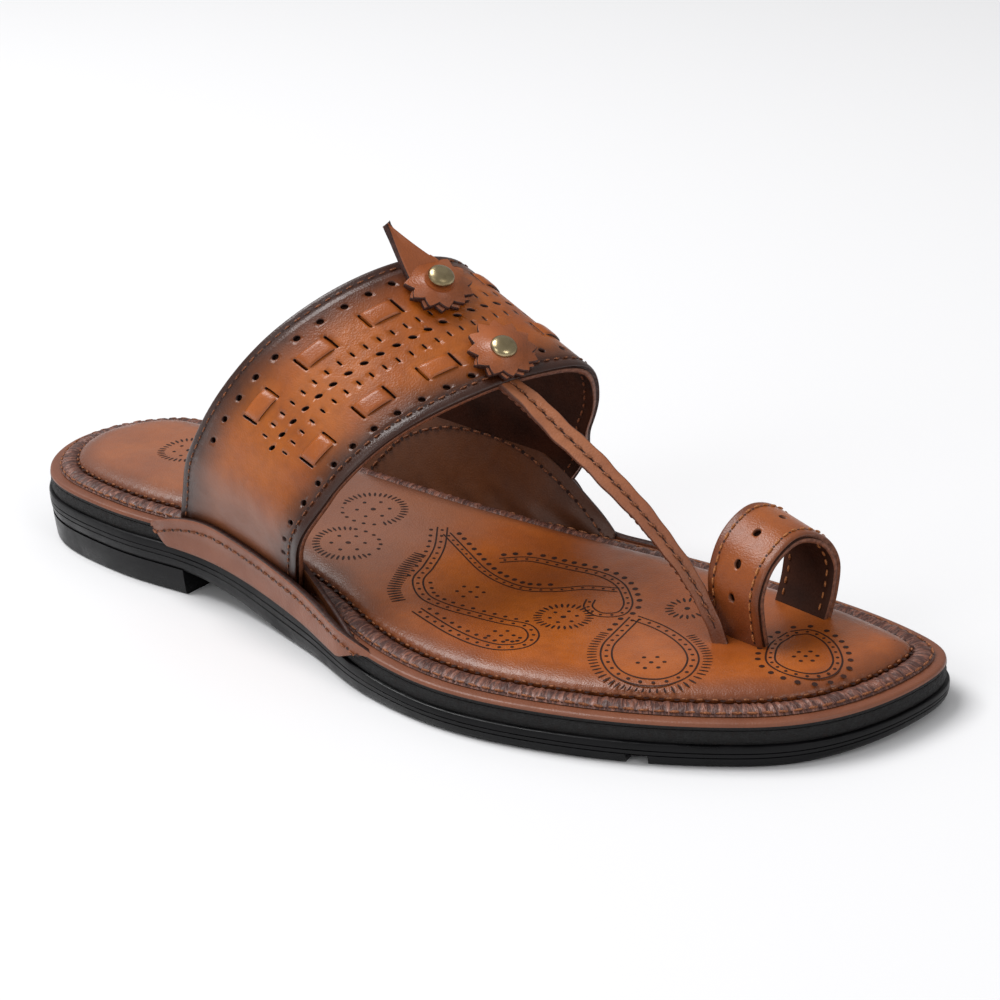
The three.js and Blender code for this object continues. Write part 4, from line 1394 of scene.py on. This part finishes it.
def make_rosette(name):
    """Two pinked discs on a short post: the lower lies on the band, the upper is dished."""
    seat = seat_frame(name, SEATS[name][2])
    under = band_under(name, seat)
    whole = bmesh.new()
    foot = float(under(np.zeros(1), np.zeros(1))[0])
    bmesh.ops.create_cone(whole, cap_ends=True, segments=32, radius1=4.4, radius2=4.0,
                          depth=1.5 - foot, matrix=Matrix.Translation((0, 0, (1.5 + foot) / 2)))
    lay(whole, lambda x, y, z: on_seat(seat, x, y, z))
    for turn, scale, dished in ((0.13, 0.97, False), (0.0, 1.0, True)):
        bm = bmesh.new()
        bmesh.ops.create_circle(bm, cap_ends=True, segments=96, radius=1.0)
        face = bm.faces[:]
        for share in (0.08, 0.1, 0.14, 0.16, 0.2, 0.15):
            bmesh.ops.inset_region(bm, faces=face, thickness=share, use_even_offset=False)
        co = np.array([v.co for v in bm.verts])
        angle = np.arctan2(co[:, 1], co[:, 0])
        far = np.linalg.norm(co[:, :2], axis=1)
        radius = far * mix(ROSETTE_ROOT, tooth(angle + turn) * scale, smooth(0.75, 1.0, far))
        x, y = radius * np.cos(angle), radius * np.sin(angle)
        up = under(x, y) + 1.55 + 0.25 * far ** 2
        if dished:
            dish = 2.6 - 0.22 * np.exp(-((far * 8 - 4.3) / 1.2) ** 2) - 0.2 * smooth(0.9, 1, far)
            dish = dish + 0.3 * smooth(0.5, 1, far) * np.sin(2 * angle + 1)
            up = mix(dish, np.minimum(dish, up + 1.6), smooth(0.35, 1, far))
        for vert, p in zip(bm.verts[:], on_seat(seat, x, y, up)):
            vert.co = p
        face_along(bm, seat[3])
        join_in(whole, bm)
    obj = piece("rosette_" + name + "_leather", whole, [ROSETTE_LEATHER, DARK_EDGE],
                ["rosette_" + name], 50, False)
    wall(obj, 1.1)


def make_rivet(name):
    seat = seat_frame(name, SEATS[name][2] + ROSETTE_WALL - 0.12)
    bm = bmesh.new()
    bmesh.ops.create_uvsphere(bm, u_segments=48, v_segments=28, radius=1)
    bmesh.ops.bisect_plane(bm, geom=everything(bm), dist=1e-5,
                           plane_co=(0, 0, -0.02), plane_no=(0, 0, -1), clear_outer=True)
    co = np.array([v.co for v in bm.verts])
    far = np.linalg.norm(co[:, :2], axis=1)
    dome = RIVET_HEIGHT * np.sqrt(np.maximum(0, 1 - far ** 2.6)) * 0.9 + 0.12
    for vert, p in zip(bm.verts[:], on_seat(seat, co[:, 0] * RIVET_RADIUS,
                                            co[:, 1] * RIVET_RADIUS, dome)):
        vert.co = p
    close_ends(bm)
    piece("rivet_" + name + "_head", bm, [RIVET_BRASS], ["rivet_" + name], 60)


def make_spike():
    """Flat pointed tab held under the upper rosette, its tip standing up behind."""
    seat = seat_frame("upper", 0.45)
    bm = grid(30, 12, 1, 1)

    def place(t, w, z):
        half = np.maximum(SPIKE_WIDTH * 0.6 * (1 - t), 0.14)
        x = -3.0 - SPIKE_REACH * t
        side = (w - 0.5) * 2 * half - 3.4 * t
        cup = 0.35 * (2 * w - 1) ** 2
        return on_seat(seat, x, side, 1.6 + cup + 7.6 * t ** 1.3)

    lay(bm, place)
    weld(bm)
    face_along(bm, seat[3])
    obj = piece("spike_leather", bm, [ROSETTE_LEATHER, DARK_EDGE],
                ["spike_tab"], 50, False)
    wall(obj, 1.5)


# ---- toe strap --------------------------------------------------------------------------------
STRAP_END = 0.93
STRAP_FACE = 6.0


def strap_slim(f):
    """The strap narrows towards the toe."""
    return 1 - 0.36 * smooth(0.35, 0.95, f)


def on_strap(f, wide_by, thick_by):
    centre, _, wide, thick = strap_frame(f)
    wide_by = wide_by * strap_slim(f)
    return centre + wide * np.asarray(wide_by)[..., None] + thick * np.asarray(thick_by)[..., None]


def make_strap():
    """Flat backing with a sewn channel down its outer face, and a plait on its inner face."""
    length = STRAP_LINE.length
    bm = grid(150, 40, length, 1)

    def section(x, y, z):
        a = y * 2 * np.pi
        power = lambda k: np.sign(k) * np.abs(k) ** 0.5
        across = power(np.cos(a)) * STRAP_FACE / 2
        deep = power(np.sin(a)) * 0.95
        channel = np.exp(-(across / 0.8) ** 2) * (np.sin(a) > 0.2) * 0.42
        sway = 0.12 * np.sin(x / 3.1) + 0.10 * np.sin(x / 1.3 + 1)
        return on_strap(x / length, across + sway * (np.abs(across) > 2), 0.75 + deep - channel)

    mark(bm)
    lay(bm, section)
    weld(bm)
    close_ends(bm)
    piece("toe_strap", bm, [STRAP_LEATHER], (), 60)
    threads, pits, plait = bmesh.new(), bmesh.new(), bmesh.new()
    f = np.linspace(0.06, STRAP_END, 400)
    line = on_strap(f, 0 * f, 0.75 + 0.95 - 0.38 + 0 * f)
    thick = strap_frame(f)[3]
    thread_row(threads, line, thick, 3.3, 3.0, 0.42, 0.3, 0.30)
    pit_row(pits, line, thick, 3.3, 0.6, 0.03, 0.0, 1.9)
    count = int(length * 0.93 / 2.3)
    for k in range(count):
        for side in (-1, 1):
            g = 0.03 + 0.91 * (k + 0.25 * (side > 0)) / count
            centre, go, wide, thick = (a[0] for a in strap_frame(np.array([g])))
            slim = float(strap_slim(g))
            spot = centre + wide * side * 1.25 * slim - thick * 0.35
            bmesh.ops.create_uvsphere(
                plait, u_segments=8, v_segments=6, radius=1,
                matrix=frame_matrix(spot, go * 0.75 - wide * side * 0.62, -thick,
                                    (2.2, 1.0 * slim, 0.95)))
    piece("strap_thread", threads, [BROWN_THREAD])
    piece("strap_stitch_pits", pits, [STITCH_HOLE_SHADE], out=False)
    piece("strap_plait", plait, [BRAID_LEATHER])


# ---- toe ring ---------------------------------------------------------------------------------
RING_SEAMS = (2.2, RING_WIDTH - 2.4)
RING_HOLES = (13.5, 21.5, 30.0, 38.5, 47.0, 55.5)


def make_ring():
    length = RING_LINE.length
    holes = [dict(cx=x, cy=RING_WIDTH * 0.5, half_x=1.15, half_y=1.05, sides=14)
             for x in RING_HOLES]
    ys = [0.12, 0.35, 0.7, 1.2, 2.2, 3.2, 4.8, 6.4, 8.5, 10.6, 12.2, 13.6]
    ys += [RING_WIDTH - d for d in (2.4, 1.2, 0.7, 0.35, 0.12)]
    bm = punched(length, RING_WIDTH, holes, np.arange(1, length, 1.1), ys)
    mark(bm)

    def place(x, y, z):
        seam = sum(np.exp(-((y - k) / 0.6) ** 2) for k in RING_SEAMS)
        d = np.minimum(y, RING_WIDTH - y)
        return on_ring(x, y, edge_roll(d, 1.0, 0.4) - 0.14 * seam)

    lay(bm, place)
    facing(bm, on_ring)
    obj = piece("toe_ring_leather", bm, [RING_LEATHER, BROWN_EDGE],
                ["toe_ring"], 50, False)
    wall(obj, 1.35)
    bm = grid(80, 8, length, RING_WIDTH - 0.3)
    bmesh.ops.translate(bm, vec=(0, 0.15, 0), verts=bm.verts)
    mark(bm)
    lay(bm, lambda x, y, z: on_ring(x, y, -RING_SPLIT + 0 * x))
    facing(bm, on_ring)
    wall(piece("toe_ring_lining", bm, [LINING_WITH_PAINTED_SHADE, BROWN_EDGE], (), 50, False),
         RING_WALL - RING_SPLIT)
    threads, pits = bmesh.new(), bmesh.new()
    x = np.linspace(3, length - 3, 240)
    for seam in RING_SEAMS:
        y = np.full_like(x, seam)
        points = on_ring(x, y, -0.12 + 0 * x)
        normals = unit(on_ring(x, y, 1 + 0 * x) - on_ring(x, y, 0 * x))
        thread_row(threads, points, normals, 2.9, 2.2, 0.30, 0.30)
        pit_row(pits, points, normals, 2.9, 0.36, 0.05)
        thread_row(threads, on_ring(x, y, -RING_WALL + 0 * x), -normals, 2.9, 1.95, 0.3, 0.45)
    piece("ring_thread", threads, [RING_THREAD])
    piece("ring_stitch_pits", pits, [STITCH_HOLE_SHADE], out=False)


def facing(bm, surface):
    """Turns a laid sheet so that its faces look out of the surface it was laid on."""
    bm.normal_update()
    lay_map = bm.loops.layers.uv["lay"]
    total = 0.0
    for face in list(bm.faces)[::7]:
        x, y = face.loops[0][lay_map].uv
        out = surface(np.array([x]), np.array([y]), np.array([1.0]))[0]
        out = out - surface(np.array([x]), np.array([y]), np.array([0.0]))[0]
        total += face.normal.dot(Vector(out))
    if total < 0:
        turned_over(bm)


make_outsole()
make_heel()
make_board()
make_rim()
make_strip()
make_pad()
make_ornament()
sole_stitches()
make_flap("lateral_flap", FLAP_LATERAL, True, "flap_lateral")
make_flap("medial_flap", FLAP_MEDIAL, False, "flap_medial")
make_inner_flap("medial_inner_flap", INNER_MEDIAL, False)
make_inner_flap("lateral_inner_flap", INNER_LATERAL, True)
flap_stitches()
make_band()
make_laces()
band_stitches()
for seat_name in SEATS:
    make_rosette(seat_name)
    make_rivet(seat_name)
make_spike()
make_strap()
make_ring()


# ---- studio -----------------------------------------------------------------------------------
def studio():
    scene = bpy.context.scene
    scene.view_settings.view_transform = "Standard"
    world = bpy.data.worlds.new("studio")
    world.use_nodes = True
    sky = world.node_tree.nodes["Background"]
    sky.inputs["Color"].default_value = (1.0, 1.0, 1.0, 1)
    sky.inputs["Strength"].default_value = 0.40
    scene.world = world
    bm = bmesh.new()
    bmesh.ops.create_grid(bm, x_segments=8, y_segments=8, size=6.0)
    mesh = bpy.data.meshes.new("floor")
    bm.to_mesh(mesh)
    bm.free()
    floor = bpy.data.objects.new("floor", mesh)
    scene.collection.objects.link(floor)
    paper = Finish("studio_paper", Roughness=0.8, Specular_IOR_Level=0.2)
    faint = paper.noise(2.0, 2.0)
    paper.set(Base_Color=paper.blend(faint * 0.3, (0.84, 0.84, 0.85, 1), (0.81, 0.81, 0.83, 1)))
    mesh.materials.append(paper.material)
    for name, place, aim, size, power in (
            ("key", (-0.26, 0.90, 1.80), (0, 0, 0.03), 1.1, 35.0),
            ("side", (-1.95, 0.2, 1.15), (0, 0, 0.05), 1.0, 7.0),
            ("front", (-0.5, -1.9, 1.1), (0, -0.05, 0.02), 0.8, 8.0)):
        lamp = bpy.data.lights.new(name, "AREA")
        lamp.size = size
        lamp.energy = power
        obj = bpy.data.objects.new(name, lamp)
        obj.location = place
        obj.rotation_euler = (Vector(aim) - Vector(place)).to_track_quat("-Z", "Y").to_euler()
        scene.collection.objects.link(obj)


def camera():
    """Low three-quarter view from the lateral side, tipped a little."""
    place = Vector((-0.4337, -0.3691, 0.2707))
    aim = Vector((0.0130, -0.0170, 0.0323))
    ahead = (aim - place).normalized()
    right = ahead.cross(Vector((0, 0, 1))).normalized()
    down = ahead.cross(right)
    roll = math.radians(2.8)
    level = right * math.cos(roll) + down * math.sin(roll)
    below = down * math.cos(roll) - right * math.sin(roll)
    data = bpy.data.cameras.new("camera")
    data.sensor_width = 36.0
    data.lens = 84.4
    data.clip_start = 0.01
    obj = bpy.data.objects.new("camera", data)
    obj.matrix_world = Matrix.Translation(place) @ Matrix(
        [list(r) for r in zip(level, -below, -ahead)]).to_4x4()
    bpy.context.scene.collection.objects.link(obj)
    bpy.context.scene.camera = obj


studio()
camera()
